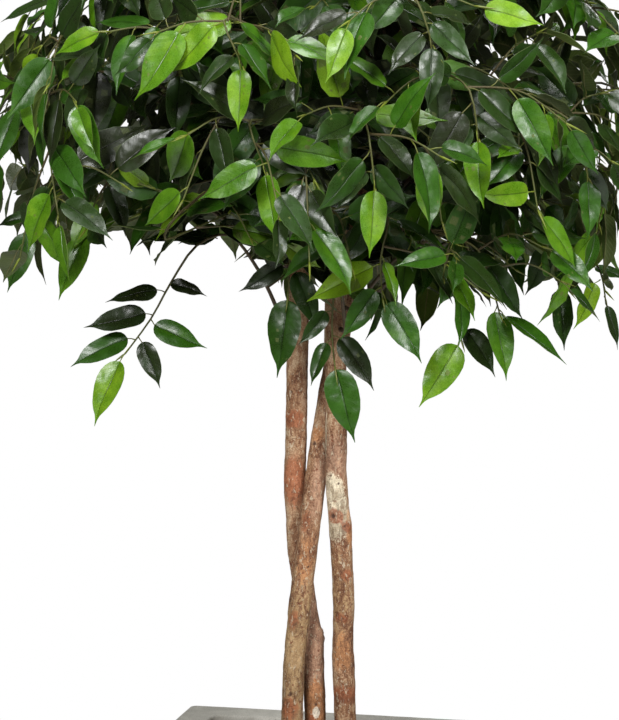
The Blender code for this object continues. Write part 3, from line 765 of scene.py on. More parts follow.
def makeSoil():
    shape = planterShape
    half = shape["side"] / 2 - shape["rim"] - gap - 0.0004
    outline = squareOutline(half, shape["innerCorner"])
    low = shape["floor"] + gap
    rings = [[(p.x, p.y, low) for p in outline]]
    rings.append([(p.x, p.y, soilHeight(p.x, p.y, 1.0) - 0.008) for p in outline])
    for k in range(soilShape["rings"]):
        share = 1.0 - k / soilShape["rings"]
        rings.append([(p.x * share, p.y * share, soilHeight(p.x * share, p.y * share, share))
                      for p in outline])
    pile = newPile()
    addPart(pile, *[np.array(rings).reshape(-1, 3), loft(rings)[1]], 0, 0.0)
    chance = random.Random(77)
    for k in range(soilShape["crumbs"]):
        x = chance.uniform(-half, half) * 0.985
        y = chance.uniform(-half, half) * 0.985
        size = chance.uniform(*soilShape["crumbSize"])
        pale = chance.random() < soilShape["paleShare"]
        share = max(abs(x), abs(y)) / half
        height = soilHeight(x, y, share) + size * 0.25
        verts, faces = crumb(chance, Vector((x, y, height)), size * (0.6 if pale else 1.0))
        addPart(pile, verts, faces, 0, 1.0 if pale else 0.0)
    piece = newPiece("pottingSoilBed", np.vstack(pile["verts"]).tolist(), pile["faces"], ("pottingSoil",))
    putAttribute(piece.data, "pale", "FLOAT", np.concatenate(pile["tone"]))
    piece.data.set_sharp_from_angle(angle=math.radians(55))
    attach(piece, "root")
    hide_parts("soil")


def makeFloor():
    rim = 96
    rings = []
    for radius in (studio["floorRadius"], studio["floorRadius"] - studio["floorEdge"], 0.9, 0.6, 0.3, 0.05):
        height = -0.012 if radius == studio["floorRadius"] else -0.0006
        rings.append([(radius * math.cos(math.tau * k / rim), radius * math.sin(math.tau * k / rim), height)
                      for k in range(rim)])
    verts, faces = loft(rings)
    piece = newPiece("studioFloor", verts, faces, ("paleFloor",))


makePlanter()
makeSoil()
makeFloor()
print("planter, soil and floor made")


# The stems

stemLines = {
    # across, deep, up, seen along the planter's turned view
    "stem_left": (
        (-0.001, 0.0140, 0.346), (-0.003, 0.0140, 0.418), (-0.006, 0.0142, 0.492),
        (-0.0155, 0.0145, 0.567), (-0.0233, 0.0142, 0.630), (-0.0252, 0.0132, 0.700),
        (-0.0238, 0.0120, 0.762), (-0.0227, 0.0095, 0.838), (-0.0210, 0.0070, 0.916),
        (-0.0182, 0.0050, 0.993), (-0.0200, 0.0020, 1.077), (-0.0260, 0.0000, 1.150),
        (-0.0340, 0.0000, 1.215),
    ),
    "stem_middle": (
        (-0.0300, -0.0125, 0.346), (-0.0289, -0.0125, 0.425), (-0.0259, -0.0130, 0.499),
        (-0.0177, -0.0130, 0.572), (-0.0105, -0.0085, 0.633), (-0.0021, 0.0020, 0.697),
        (0.0079, 0.0090, 0.762), (0.0150, 0.0125, 0.803), (0.0250, 0.0165, 0.858),
        (0.0381, 0.0240, 0.936), (0.0516, 0.0330, 1.014), (0.0673, 0.0420, 1.100),
        (0.0864, 0.0500, 1.159), (0.1080, 0.0560, 1.208),
    ),
    "stem_right": (
        (0.0315, -0.0060, 0.346), (0.0304, -0.0060, 0.423), (0.0280, -0.0065, 0.498),
        (0.0285, -0.0072, 0.563), (0.0252, -0.0095, 0.628), (0.0202, -0.0125, 0.700),
        (0.0203, -0.0150, 0.746), (0.0197, -0.0175, 0.800), (0.0188, -0.0190, 0.851),
        (0.0196, -0.0210, 0.939), (0.0210, -0.0235, 1.026), (0.0190, -0.0290, 1.108),
        (0.0100, -0.0370, 1.185), (0.0020, -0.0430, 1.225),
    ),
}

stemShape = {
    "foot": 0.175,
    "radius": 0.0122,
    "topRadius": 0.0085,
    "plainSides": 8,  # the frame's own stems, which sprays were set clear of
    "plainStep": 0.038,
    "sides": 38,
    "step": 0.0030,
    "buriedStep": 0.020,
    "roundness": 0.975,
    "ridges": 0.00045,
    "lumps": 0.00070,
    "pitted": 0.00022,
}

# Branch scars of the frame: height, bearing in degrees, how far out
stemKnots = {
    "stem_left": ((0.510, -10, 0.0030), (0.690, -150, 0.0012), (0.880, 60, 0.0020)),
    "stem_middle": ((0.455, -95, 0.0014), (0.560, 175, 0.0015), (0.735, -120, 0.0016)),
    "stem_right": ((0.655, -100, 0.0018), (0.640, -20, 0.0022), (0.470, 30, 0.0014)),
}

# Finer scars on the bark: height, bearing, radius, lip and pit, all but bearing in metres
barkScars = {
    "stem_left": ((0.516, 2, 0.0046, 0.0022, 0.0010), (0.792, -110, 0.0040, 0.0008, 0.0012),
                  (0.440, -70, 0.0050, 0.0010, 0.0008)),
    "stem_middle": ((0.458, -88, 0.0052, 0.0011, 0.0012), (0.536, -100, 0.0040, 0.0007, 0.0009),
                    (0.735, -112, 0.0046, 0.0009, 0.0012), (0.600, -60, 0.0030, 0.0005, 0.0008)),
    "stem_right": ((0.657, -107, 0.0062, 0.0014, 0.0018), (0.645, -52, 0.0046, 0.0013, 0.0015),
                   (0.702, -110, 0.0030, 0.0005, 0.0012), (0.694, -66, 0.0030, 0.0005, 0.0012),
                   (0.545, -122, 0.0042, 0.0006, 0.0010), (0.542, -88, 0.0040, 0.0006, 0.0010)),
}

# Patches of the bark: coat, height, half height, bearing, half width in degrees, strength
barkPatches = {
    "stem_left": (
        ("rustCoat", 0.762, 0.010, -110, 60, 1.0), ("rustCoat", 0.692, 0.026, -95, 70, 1.0),
        ("orangeCoat", 0.440, 0.024, -75, 75, 1.15), ("chipCoat", 0.430, 0.006, -82, 20, 1.25),
        ("mauveCoat", 0.510, 0.060, -60, 120, 1.0), ("rustCoat", 0.420, 0.010, -110, 25, 0.9),
        ("mauveCoat", 0.800, 0.060, 40, 90, 0.8), ("orangeCoat", 0.850, 0.016, 150, 60, 0.8),
    ),
    "stem_middle": (
        ("mossCoat", 0.500, 0.090, -90, 150, 0.8), ("orangeCoat", 0.745, 0.008, -115, 30, 1.0),
        ("rustCoat", 0.540, 0.012, -120, 35, 0.8), ("rustCoat", 0.440, 0.014, -110, 50, 0.85),
        ("orangeCoat", 0.610, 0.030, -90, 50, 0.75), ("mauveCoat", 0.690, 0.045, -60, 60, 0.8),
        ("rustCoat", 0.650, 0.012, -115, 30, 0.8), ("creamCoat", 0.800, 0.030, 80, 70, 0.7),
    ),
    "stem_right": (
        ("creamCoat", 0.664, 0.036, -115, 78, 1.20), ("orangeCoat", 0.500, 0.026, -90, 60, 0.80),
        ("rustCoat", 0.454, 0.010, -90, 110, 0.95), ("mauveCoat", 0.720, 0.030, -80, 110, 0.85),
        ("creamCoat", 0.745, 0.026, -168, 16, 1.0), ("orangeCoat", 0.640, 0.022, -35, 28, 0.85),
        ("creamCoat", 0.480, 0.012, -90, 60, 0.50), ("mossCoat", 0.560, 0.050, -120, 90, 0.6),
        ("rustCoat", 0.860, 0.020, 60, 70, 0.8), ("creamCoat", 0.560, 0.020, 100, 60, 0.7),
        ("rustCoat", 0.657, 0.0075, -107, 40, 1.3), ("rustCoat", 0.645, 0.0060, -56, 30, 1.25),
        ("rustCoat", 0.590, 0.0070, -70, 40, 0.9), ("pitShadeAndDarkPatch", 0.449, 0.0070, -90, 140, 0.50),
        ("rustCoat", 0.543, 0.0060, -118, 24, 0.9), ("rustCoat", 0.541, 0.0060, -84, 22, 0.9),
    ),
}
coats = ("creamCoat", "rustCoat", "orangeCoat", "mauveCoat", "mossCoat", "chipCoat", "pitShadeAndDarkPatch")


def stemCurve(name):
    return smoothLine([turned(*p) for p in stemLines[name]], 6)


def plainStemLine(name):
    # The stem as the frame has it
    curve = stemCurve(name)
    foot = Vector((curve[0].x, curve[0].y, stemShape["foot"]))
    count = round(lineLengths(curve)[-1] / stemShape["plainStep"])
    return [foot] + evenLine(curve, count)


def stemRadius(height):
    soilTop = stemLines["stem_left"][0][2]
    top = stemLines["stem_left"][-1][2]
    climb = min(max((height - soilTop) / (top - soilTop), 0.0), 1.0)
    return stemShape["radius"] + (stemShape["topRadius"] - stemShape["radius"]) * max(climb - 0.6, 0.0) / 0.4


def knotSwell(name, spot, bearing):
    swell = 0.0
    for height, degrees, standsOut in stemKnots[name]:
        near = math.exp(-((spot.z - height) / 0.018) ** 2)
        facing = max(math.cos(bearing - math.radians(degrees)), 0.0) ** 3
        swell += standsOut * near * facing
    return swell


def plainStem(name):
    # The frame's own stem, only to keep clear of
    line = plainStemLine(name)
    sides = stemShape["plainSides"]
    verts, faces = tube(line, [stemRadius(p.z) for p in line], sides)
    for i, vert in enumerate(verts):
        out = vert - line[i // sides]
        verts[i] = vert + out.normalized() * knotSwell(name, vert, math.atan2(out.y, out.x))
    return BVHTree.FromPolygons([tuple(v) for v in verts], faces)


def awayFrom(bearing, degrees):
    # The turn between two bearings, in radians
    return abs((bearing - math.radians(degrees) + math.pi) % math.tau - math.pi)


def barkRelief(name, spot, bearing, radius):
    # How far the bark stands out, and how deep in a scar's pit the place is, which sets the painted shade
    # there
    grain = Vector((spot.x * 1.0, spot.y * 1.0, spot.z * 0.22))
    out = stemShape["ridges"] * noise.noise(grain * 420.0)
    out += stemShape["lumps"] * noise.noise(Vector((spot.x, spot.y, spot.z * 0.6)) * 85.0)
    out += stemShape["pitted"] * noise.fractal(spot * 600.0, 0.8, 2.2, 3)
    pit = 0.0
    for height, degrees, size, lip, depth in barkScars[name]:
        away = math.hypot(spot.z - height, awayFrom(bearing, degrees) * radius * 1.15) / size
        if away < 2.5:
            out += lip * math.exp(-((away - 1.0) / 0.42) ** 2)
            inside = math.exp(-(away / 0.62) ** 2)
            out -= depth * inside
            pit = max(pit, inside)
    return out, pit


def makeStem(name):
    curve = stemCurve(name)
    foot = Vector((curve[0].x, curve[0].y, stemShape["foot"]))
    buried = round((curve[0].z - foot.z) / stemShape["buriedStep"])
    line = [foot.lerp(curve[0], k / buried) for k in range(buried)]
    line += evenLine(curve, round(lineLengths(curve)[-1] / stemShape["step"]))
    radii = [stemRadius(p.z) * stemShape["roundness"] for p in line]
    sides = stemShape["sides"]
    verts, faces = tube(line, radii, sides)
    masks = {coat: np.zeros(len(verts)) for coat in coats}
    yaw = math.radians(studio["yaw"])
    for i, vert in enumerate(verts):
        out = (vert - line[i // sides]).normalized()
        bearing = math.atan2(out.y, out.x)
        swell = knotSwell(name, vert, bearing)
        relief, pit = barkRelief(name, vert, bearing, radii[i // sides])
        verts[i] = vert + out * (swell + relief)
        # painted shade: each scar's pit darkened as deep as it goes
        masks["pitShadeAndDarkPatch"][i] = pit * 0.85
        seen = bearing - yaw  # patches are placed as the picture shows them
        for coat, height, tall, degrees, wide, strength in barkPatches[name]:
            high = abs(vert.z - height) / tall
            side = awayFrom(seen, degrees) / math.radians(wide)
            away = math.hypot(high, side)
            if away < 1.8:
                masks[coat][i] = max(masks[coat][i], strength * (1.0 - 0.5 * away ** 2))
    piece = newPiece("barked_" + name, verts, faces, ("stemBark",))
    for coat in coats:
        putAttribute(piece.data, coat, "FLOAT", np.clip(masks[coat], 0.0, 1.2))
    piece.data.set_sharp_from_angle(angle=math.radians(70))
    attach(piece, "root")
    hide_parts(name)


for stemName in stemLines:
    makeStem(stemName)
print("stems made:", len(stemLines))


# The crown: the frame's sprays by their own growth rule

crownShape = {
    "centre": Vector((0.0, 0.0, 1.050)),
    "radius": 0.371,
    "up": 0.326,
    "down": 0.200,
    # name, how many, degrees above the middle, and how far above that the last bend is
    "rings": (
        ("top", 4, 68, 14),
        ("upper", 8, 42, 26),
        ("middle", 12, 16, 28),
        ("lower", 12, -12, 28),
        ("skirt", 10, -40, 34),
        ("under", 4, -66, 40),
    ),
    # how low the sprays hang seen from the front, as across and up beside the stems
    "underside": ((-0.40, 0.895), (-0.30, 0.885), (-0.26, 0.925), (-0.12, 0.945), (-0.05, 0.895),
                  (0.00, 0.850), (0.10, 0.850), (0.20, 0.835), (0.40, 0.850)),
    "seenFrom": (-0.009, -2.600, 1.078),
    "lowestLeaf": 0.055,
    "firstBearing": 100.0,
    "goldenAngle": 137.508,
    "shownRoom": 0.110,
}

sprayShape = {
    "rootRadius": 0.0036,
    "tipRadius": 0.0018,
    "plainSides": 3,
    "steps": 7,
    "leaflessShare": 0.34,
    "start": 0.012,  # how far out of the stem the smooth arch begins
    "arch": 0.16,
    "lowestRoot": 0.865,
    "rootSpread": (-0.025, 0.055),
    "rootClimb": 1.15,
    "belowStemTop": 0.006,
    "leafSpacing": 0.043,
    "shownShare": 0.72,
    "tries": 40,
    "clearance": 0.0009,
}

leafShape = {
    "length": (0.064, 0.084),
    "slenderness": (0.40, 0.46),
    "youngScale": 0.86,
    "petiole": 0.011,
    "stalkBend": 0.7,
    "rib": 0.0011,
    "fold": 0.045,
    "sag": 0.10,
    "stalkHalf": 0.0007,
    "tries": 10,
    "rootSink": 0.002,
    "tipNearer": 0.012,
    "plainStations": ((0.0, 0.08), (0.24, 0.95), (0.62, 0.80), (1.0, 0.0)),
}

# Sprays that the crown's front shows one by one, in millimetres: how deep each hangs, the
# last points of its twig as across and up, then its leaves as across and up where the
# blade starts and at its tip, and how much nearer than its twig a leaf hangs
shownSprays = {
    "fringe_far_left": (
        -90, ((-110, 975), (-147, 932), (-166, 905), (-182, 874), (-201, 851), (-206, 843)),
        ((-170, 914, -226, 904), (-162, 914, -118, 908), (-183, 888, -249, 875), (-178, 877, -119, 851),
         (-197, 862, -266, 833, -12), (-189, 858, -168, 808), (-213, 837, -243, 770, 6))),
    "fringe_stem_left": (
        -100, ((-19, 991), (-29, 959), (-32, 905)),
        ((-37, 941, -82, 910), (-33, 901, -46, 820), (-29, 933, 0, 870))),
    "fringe_stem_right": (
        -140, ((20, 935), (14, 883), (17, 835)),
        ((10, 862, -11, 817), (23, 868, 61, 813), (18, 831, 35, 755), (15, 894, -20, 858))),
    "fringe_middle": (
        -200, ((70, 995), (63, 954), (65, 910)),
        ((67, 904, 106, 846), (57, 920, 24, 868), (64, 953, 82, 905))),
    "fringe_right_low": (
        -130, ((158, 971), (151, 914), (150, 861)),
        ((149, 855, 106, 792), (151, 919, 146, 852), (151, 877, 187, 825), (154, 943, 118, 892))),
    "fringe_right": (
        -160, ((165, 957), (179, 921), (188, 889)),
        ((190, 886, 260, 846), (183, 898, 199, 824), (171, 944, 211, 886), (167, 951, 137, 906))),
    "fringe_far_right": (
        40, ((248, 997), (262, 947), (269, 908)),
        ((269, 902, 277, 836), (264, 930, 305, 892), (259, 958, 234, 897), (253, 975, 296, 948))),
    "fringe_edge_right": (
        20, ((296, 943), (315, 904), (320, 888)),
        ((321, 886, 337, 840), (311, 915, 288, 860), (304, 932, 348, 918))),
    "fringe_left": (
        -120, ((-207, 1060), (-224, 1018), (-242, 974)),
        ((-230, 1008, -262, 955), (-244, 970, -277, 906), (-216, 1039, -259, 1016), (-220, 1028, -199, 972))),
    "fringe_edge_left": (
        -20, ((-292, 1026), (-305, 988), (-314, 970)),
        ((-316, 968, -338, 905), (-303, 994, -351, 979), (-300, 985, -270, 925))),
    "front_middle": (
        -310, ((45, 1090), (49, 1056), (54, 1025)),
        ((54, 1022, 51, 958), (50, 1042, 15, 1005), (49, 1051, 86, 1006))),
    "front_left": (
        -300, ((-67, 1090), (-55, 1061), (-51, 1040)),
        ((-51, 1037, -44, 970), (-55, 1056, -94, 1005), (-57, 1071, -13, 1034))),
    "front_left_high": (
        -330, ((-90, 1184), (-76, 1161), (-73, 1141)),
        ((-73, 1138, -79, 1080), (-76, 1156, -118, 1118), (-79, 1164, -42, 1120))),
    "front_left_out": (
        -260, ((-141, 1178), (-133, 1154), (-135, 1135)),
        ((-136, 1133, -140, 1070), (-134, 1147, -186, 1121), (-135, 1151, -99, 1098))),
    "front_right": (
        -290, ((137, 1129), (149, 1098), (155, 1072)),
        ((155, 1069, 157, 1005), (151, 1088, 112, 1040), (149, 1098, 196, 1061))),
    "front_right_high": (
        -330, ((91, 1203), (105, 1180), (108, 1161)),
        ((108, 1158, 105, 1099), (105, 1175, 65, 1136), (103, 1183, 148, 1143))),
    "front_right_out": (
        -180, ((246, 1101), (267, 1060), (275, 1032)),
        ((275, 1028, 277, 969), (271, 1045, 317, 1005), (263, 1065, 221, 1014))),
}


def crownPoint(bearing, rise, share=1.0):
    # A point of the crown's shell, by its bearing and its height above the middle in degrees
    upright = crownShape["up"] if rise > 0 else crownShape["down"]
    b = math.radians(bearing)
    r = math.radians(rise)
    shell = Vector((crownShape["radius"] * math.cos(r) * math.cos(b),
                    crownShape["radius"] * math.cos(r) * math.sin(b),
                    upright * math.sin(r)))
    return crownShape["centre"] + shell * share


def crownFacing(point):
    # The way a leaf faces at that point: out of the crown, and never downwards
    reach = point - crownShape["centre"]
    wide = crownShape["radius"]
    rise = max(reach.z / crownShape["up"] ** 2, 0.25 / wide)
    return Vector((reach.x / wide ** 2, reach.y / wide ** 2, rise)).normalized()


def hangsLow(point, line=crownShape["underside"]):
    # Whether the point is under the crown's underside, seen from the front
    away = crownShape["seenFrom"][1]
    seen = turned(*crownShape["seenFrom"])
    plane = turned(0.0, -away, 0.0).normalized()
    reach = point - seen
    beside = seen + reach * (-away / reach.dot(plane))
    across = beside.dot(turned(1.0, 0.0, 0.0))
    for (a, upA), (b, upB) in zip(line, line[1:]):
        if a <= across < b:
            return beside.z < upA + (upB - upA) * (across - a) / (b - a)
    return False


def shown(across, height, deep):
    return turned(across / 1000, deep / 1000, height / 1000)


def sprayPlan():
    # Every spray as its name, the last points of its twig, and its leaves laid one by one
    plan = []
    nearer = turned(0.0, -leafShape["tipNearer"], 0.0)
    for name, (deep, twig, leaves) in shownSprays.items():
        laid = []
        for a, b, c, d, *forward in leaves:
            out = deep - sum(forward)
            laid.append((shown(a, b, out), shown(c, d, out) + nearer))
        plan.append(("spray_" + name, [shown(*p, deep) for p in twig], laid))
    shownEnds = [twig[-1] for _, twig, _ in plan]
    for ring, (name, count, rise, bendAbove) in enumerate(crownShape["rings"]):
        chance = random.Random(100 + ring)
        for k in range(count):
            bearing = crownShape["firstBearing"] + crownShape["goldenAngle"] * ring + 360.0 * k / count
            bearing += chance.uniform(-6, 6)
            end = crownPoint(bearing, rise + chance.uniform(-6, 6), chance.uniform(0.92, 1.04))
            while hangsLow(end - up * crownShape["lowestLeaf"]):
                end += up * 0.01
            swing = chance.uniform(-12, 12)
            bend = crownPoint(bearing + swing, rise + bendAbove, 0.90)
            if min((end - e).length for e in shownEnds) > crownShape["shownRoom"]:
                plan.append((f"spray_{name}_{k + 1}", [bend, end], []))
    return plan


def stemFor(end):
    # The stem whose side of the crown the spray is on
    bearing = math.degrees(math.atan2(end.y, end.x)) % 360.0
    if 140.0 <= bearing < 250.0:
        return "stem_left"
    if bearing >= 250.0 or bearing < 5.0:
        return "stem_right"
    return "stem_middle"


def rootOn(stemPoints, height, bearing):
    # A point just off the bark at that height, and the way straight out of the stem there
    last = len(stemPoints) - 1
    upper = next(i for i, p in enumerate(stemPoints) if p.z >= height or i == last)
    a = stemPoints[upper - 1]
    b = stemPoints[upper]
    share = min((height - a.z) / (b.z - a.z), 1.0)
    middle = a.lerp(b, share)
    along = (b - a).normalized()
    out = Vector((math.cos(bearing), math.sin(bearing), 0.0))
    out = (out - along * out.dot(along)).normalized()
    return middle + out * (stemRadius(middle.z) + gap), out


def sprayLine(number, twig, stemPoints, attempt):
    chance = random.Random(5000 + number * 40 + attempt)
    top = stemPoints[-1].z
    bend, end = twig[0], twig[-1]
    lowest = crownShape["centre"].z - crownShape["down"]
    rise = (end.z - lowest) / (crownShape["up"] + crownShape["down"])
    low = sprayShape["lowestRoot"]
    height = low + (top - low) * min(max(rise * sprayShape["rootClimb"], 0.0), 1.0)
    height = min(max(height + chance.uniform(*sprayShape["rootSpread"]), low),
                 top - sprayShape["belowStemTop"])
    bearing = math.atan2(bend.y, bend.x) + chance.uniform(-0.5, 0.5)
    root, out = rootOn(stemPoints, height, bearing)
    start = root + out * sprayShape["start"]
    knee = start.lerp(bend, 0.45)
    knee += up * (sprayShape["arch"] * (bend - start).length + chance.uniform(-0.012, 0.012))
    return [root] + evenLine(smoothLine([start, knee, *twig], 8), sprayShape["steps"])


def sprayRadii(line):
    last = len(line) - 1
    fall = sprayShape["tipRadius"] - sprayShape["rootRadius"]
    return [sprayShape["rootRadius"] + fall * (i / last) ** 0.8 for i in range(last + 1)]


def siteOf(root, stalk, seed, ends=False, youth=0.3, laid=None):
    return {"root": root, "stalk": stalk, "seed": seed, "ends": ends, "youth": youth, "laid": laid}


def leafSites(number, line, laid):
    # Where the frame's leaves grow on a spray
    sites = []
    first = sprayShape["leaflessShare"]
    last = sprayShape["shownShare"] if laid else 1.0
    count = round(lineLengths(line)[-1] * (last - first) / sprayShape["leafSpacing"])
    hand = 1 if number % 2 else -1
    for k, (start, tip) in enumerate(laid):
        near = [pointOn(line, j / 80)[0] for j in range(79)]
        root = min(near, key=lambda p: (p - start).length)
        sites.append(siteOf(root, (start - root).normalized(), number * 200 + 180 + k,
                            laid=(start, tip)))
    for k in range(count):
        share = first + (last - first) * (k + 0.3) / count
        point, tangent = pointOn(line, share)
        lateral = tangent.cross(crownFacing(point)).normalized() * hand
        hand = -hand
        stalk = (tangent * 0.55 + lateral * 0.85).normalized()
        sites.append(siteOf(point, stalk, number * 200 + k, youth=0.15 + 0.45 * share))
    if not laid:
        endWay = tangentAt(line, len(line) - 1)
        sites.append(siteOf(line[-1], endWay, number * 200 + 190, ends=True, youth=1.0))
    return sites


def stalkWay(away, axis):
    # The way a stalk runs between twig and blade, without a fold at either end
    bend = leafShape["stalkBend"]
    way = (away + axis * bend).normalized()
    while way.dot(axis) < bend / 2:
        way = (way + axis * bend / 2).normalized()
    return way


def leafPose(site, attempt):
    # Where the blade starts, which way it points and faces, and its length and width
    chance = random.Random(site["seed"])
    length = chance.uniform(*leafShape["length"]) * (1 - (1 - leafShape["youngScale"]) * site["youth"])
    slenderness = chance.uniform(*leafShape["slenderness"])
    hang = chance.uniform(0.15, 0.66)
    roll = chance.gauss(0.0, 0.28)
    yaw = chance.uniform(-0.2, 0.2)
    if attempt:
        retry = random.Random(site["seed"] * 31 + attempt)
        hang = retry.uniform(0.05, 0.90)
        roll = retry.gauss(0.0, 0.45)
        yaw = retry.uniform(-0.9, 0.9)
    facing = crownFacing(site["root"])
    if site["laid"]:
        facing = (facing + turned(0.0, -1.6, 0.3)).normalized()
        start, tip = site["laid"]
        tip = tip + facing * (leafShape["tipNearer"] * yaw * attempt)
        stalk = stalkWay(site["stalk"], (tip - start).normalized())
        start = site["root"] + stalk * max((start - site["root"]).length, leafShape["petiole"] * 0.7)
        length = (tip - start).length
        axis = (tip - start) / length
    else:
        away = Matrix.Rotation(yaw, 3, facing) @ site["stalk"]
        axis = (away * (1 - hang) + down * hang).normalized()
        start = site["root"] + stalkWay(away, axis) * leafShape["petiole"]
    face = facing + up * 0.25
    face = (face - axis * face.dot(axis)).normalized()
    face = Matrix.Rotation(roll, 3, axis) @ face
    return start, axis, face, length, length * slenderness


def plainBlade(site, pose, fat=0.0):
    # The frame's own leaf, only to keep clear of: a stalk, then a flat top with a rib under it
    start, axis, face, length, width = pose
    sink = leafShape["rootSink"] if site["ends"] else 0.0
    line = [site["root"] - (start - site["root"]).normalized() * sink]
    halves = [leafShape["stalkHalf"]]
    for share, half in leafShape["plainStations"]:
        line.append(start + axis * length * share - face * leafShape["sag"] * length * share ** 2)
        halves.append(half * width / 2)
    verts = []
    faces = []
    last = len(line) - 1
    for i in range(last):
        tangent = tangentAt(line, i)
        across = tangent.cross(face).normalized()
        out = across.cross(tangent)
        fold = leafShape["fold"] * halves[i] if i else 0.0
        edge = line[i] + out * (fold + fat + leafShape["stalkHalf"] / 2)
        side = across * (halves[i] + fat)
        verts += [edge - side, edge + side, line[i] - out * (leafShape["rib"] + fat)]
    verts.append(line[last] + axis * fat)
    for i in range(last - 1):
        a = 3 * i
        for k in range(3):
            b = (k + 1) % 3
            faces += [(a + k, a + b, a + 3 + b), (a + k, a + 3 + b, a + 3 + k)]
    a = 3 * (last - 1)
    tip = 3 * last
    faces += [(a, a + 1, tip), (a + 1, a + 2, tip), (a + 2, a, tip), (2, 1, 0)]
    return verts, faces


def treeOf(verts, faces):
    return BVHTree.FromPolygons([tuple(v) for v in verts], faces)


def fatTube(line, radii, fat):
    return treeOf(*tube(line, [r + fat for r in radii], sprayShape["plainSides"]))


def hits(tree, others):
    return any(tree.overlap(other) for other in others)


def placeSprays(stemTrees, stemPoints):
    # Each spray's twig, bent clear of the stems and of the sprays before it
    sprays = []
    taken = list(stemTrees.values())
    for number, (name, twig, laid) in enumerate(sprayPlan()):
        stem = stemFor(twig[-1])
        for attempt in range(sprayShape["tries"]):
            line = sprayLine(number, twig, stemPoints[stem], attempt)
            radii = sprayRadii(line)
            own = fatTube(line, radii, 0.0)
            wide = fatTube(line[1:], radii[1:], sprayShape["clearance"])
            if not hits(own, taken) and not hits(wide, taken):
                taken.append(own)
                sprays.append({"name": name, "number": number, "line": line, "radii": radii, "own": own,
                               "sites": leafSites(number, line, laid), "leaves": [], "sideTwigs": []})
                break
    return sprays


class NearMap:
    # What already grows in the crown, found by where it is
    cell = 0.085

    def __init__(self):
        self.cells = {}

    def key(self, spot):
        return tuple(int(math.floor(x / self.cell)) for x in spot)

    def add(self, spot, tree):
        self.cells.setdefault(self.key(spot), []).append((spot, tree))

    def near(self, spot, reach):
        x, y, z = self.key(spot)
        span = int(math.ceil(reach / self.cell))
        found = []
        for i in range(x - span, x + span + 1):
            for j in range(y - span, y + span + 1):
                for k in range(z - span, z + span + 1):
                    for other, tree in self.cells.get((i, j, k), ()):
                        if (other - spot).length < reach:
                            found.append(tree)
        return found


def placeLeaves(sprays, stemTrees, grown):
    # The frame's leaves, each turned until it is clear of every stem, twig and leaf
    count = 0
    for spray in sprays:
        others = [s["own"] for s in sprays if s is not spray] + list(stemTrees.values())
        for site in spray["sites"]:
            for attempt in range(leafShape["tries"]):
                pose = leafPose(site, attempt)
                if not site["laid"] and hangsLow(pose[0] + pose[1] * pose[3]):
                    continue
                middle = pose[0] + pose[1] * pose[3] / 2
                near = grown.near(middle, 2 * leafShape["length"][1])
                if hits(treeOf(*plainBlade(site, pose, sprayShape["clearance"])), near + others):
                    continue
                verts, faces = plainBlade(site, pose)
                outer = treeOf(verts[6:], [[i - 6 for i in f] for f in faces if min(f) >= 6])
                if outer.overlap(spray["own"]):
                    continue
                grown.add(middle, treeOf(verts, faces))
                spray["leaves"].append((site, pose))
                count += 1
                break
    return count


stemTrees = {name: plainStem(name) for name in stemLines}
sprays = placeSprays(stemTrees, {name: plainStemLine(name) for name in stemLines})
grown = NearMap()
frameLeaves = placeLeaves(sprays, stemTrees, grown)
print("frame's crown repeated:", len(sprays), "sprays,", frameLeaves, "leaves")


# What fills the crown between the frame's leaves

fillShape = {
    "leafSpacing": 0.0190,
    "firstShare": 0.16,
    "lastShare": 0.985,
    "leafRoom": 0.0075,
    "tries": 7,
    "sideSpacing": 0.046,
    "sideShares": (0.22, 0.90),
    "sideLength": (0.065, 0.125),
    "sideLeafSpacing": 0.0185,
    "sideDrop": 0.30,
    "sideRadii": (0.0013, 0.0008),
    "sideTries": 5,
    "clearance": 0.0006,
    "reach": 0.386,  # how far leaf tips go from the crown's upright middle line
    "top": 1.380,
    "bottom": 0.760,
    # where the filling leaves end below, and how unevenly
    "underside": ((-0.40, 0.900), (-0.31, 0.890), (-0.25, 0.935), (-0.12, 0.950), (-0.06, 0.905),
                  (0.00, 0.865), (0.06, 0.880), (0.095, 0.915), (0.12, 0.880), (0.15, 0.860),
                  (0.21, 0.862), (0.245, 0.900), (0.275, 0.870), (0.33, 0.855), (0.40, 0.890)),
    "ragged": 0.065,
    "fullness": 2.5,  # 2 is an ellipse, more has fuller shoulders
    # how far out, how many places are looked at, and how near a leaf's middle has to be there
    "holeShells": ((0.90, 500, 0.038), (0.98, 380, 0.044), (0.74, 160, 0.042)),
    "holeReach": (0.030, 0.135),
    "holeTries": 4,
    "leafLength": (0.056, 0.080),
}


def outsideCrown(point):
    # Whether a leaf tip would stick out of the clipped ball
    flat = math.hypot(point.x, point.y)
    rise = point.z - crownShape["centre"].z
    tall = fillShape["top"] - crownShape["centre"].z
    full = fillShape["fullness"]
    if rise > 0 and (flat / fillShape["reach"]) ** full + (rise / tall) ** full > 1.0:
        return True
    return flat > fillShape["reach"] or point.z < fillShape["bottom"]


def fullPoint(bearing, rise, share):
    # A point of the crown as full as its filling leaves make it
    way = Vector((math.cos(rise) * math.cos(bearing), math.cos(rise) * math.sin(bearing), math.sin(rise)))
    upright = crownShape["up"] if rise > 0 else crownShape["down"]
    full = fillShape["fullness"]
    out = (math.cos(rise) / crownShape["radius"]) ** full + (abs(way.z) / upright) ** full
    return crownShape["centre"] + way * (share / out ** (1.0 / full))


def outerShare(point):
    # 0 in the crown's middle, 1 at its shell
    reach = point - crownShape["centre"]
    upright = crownShape["up"] if reach.z > 0 else crownShape["down"]
    return math.hypot(math.hypot(reach.x, reach.y) / crownShape["radius"], reach.z / upright)


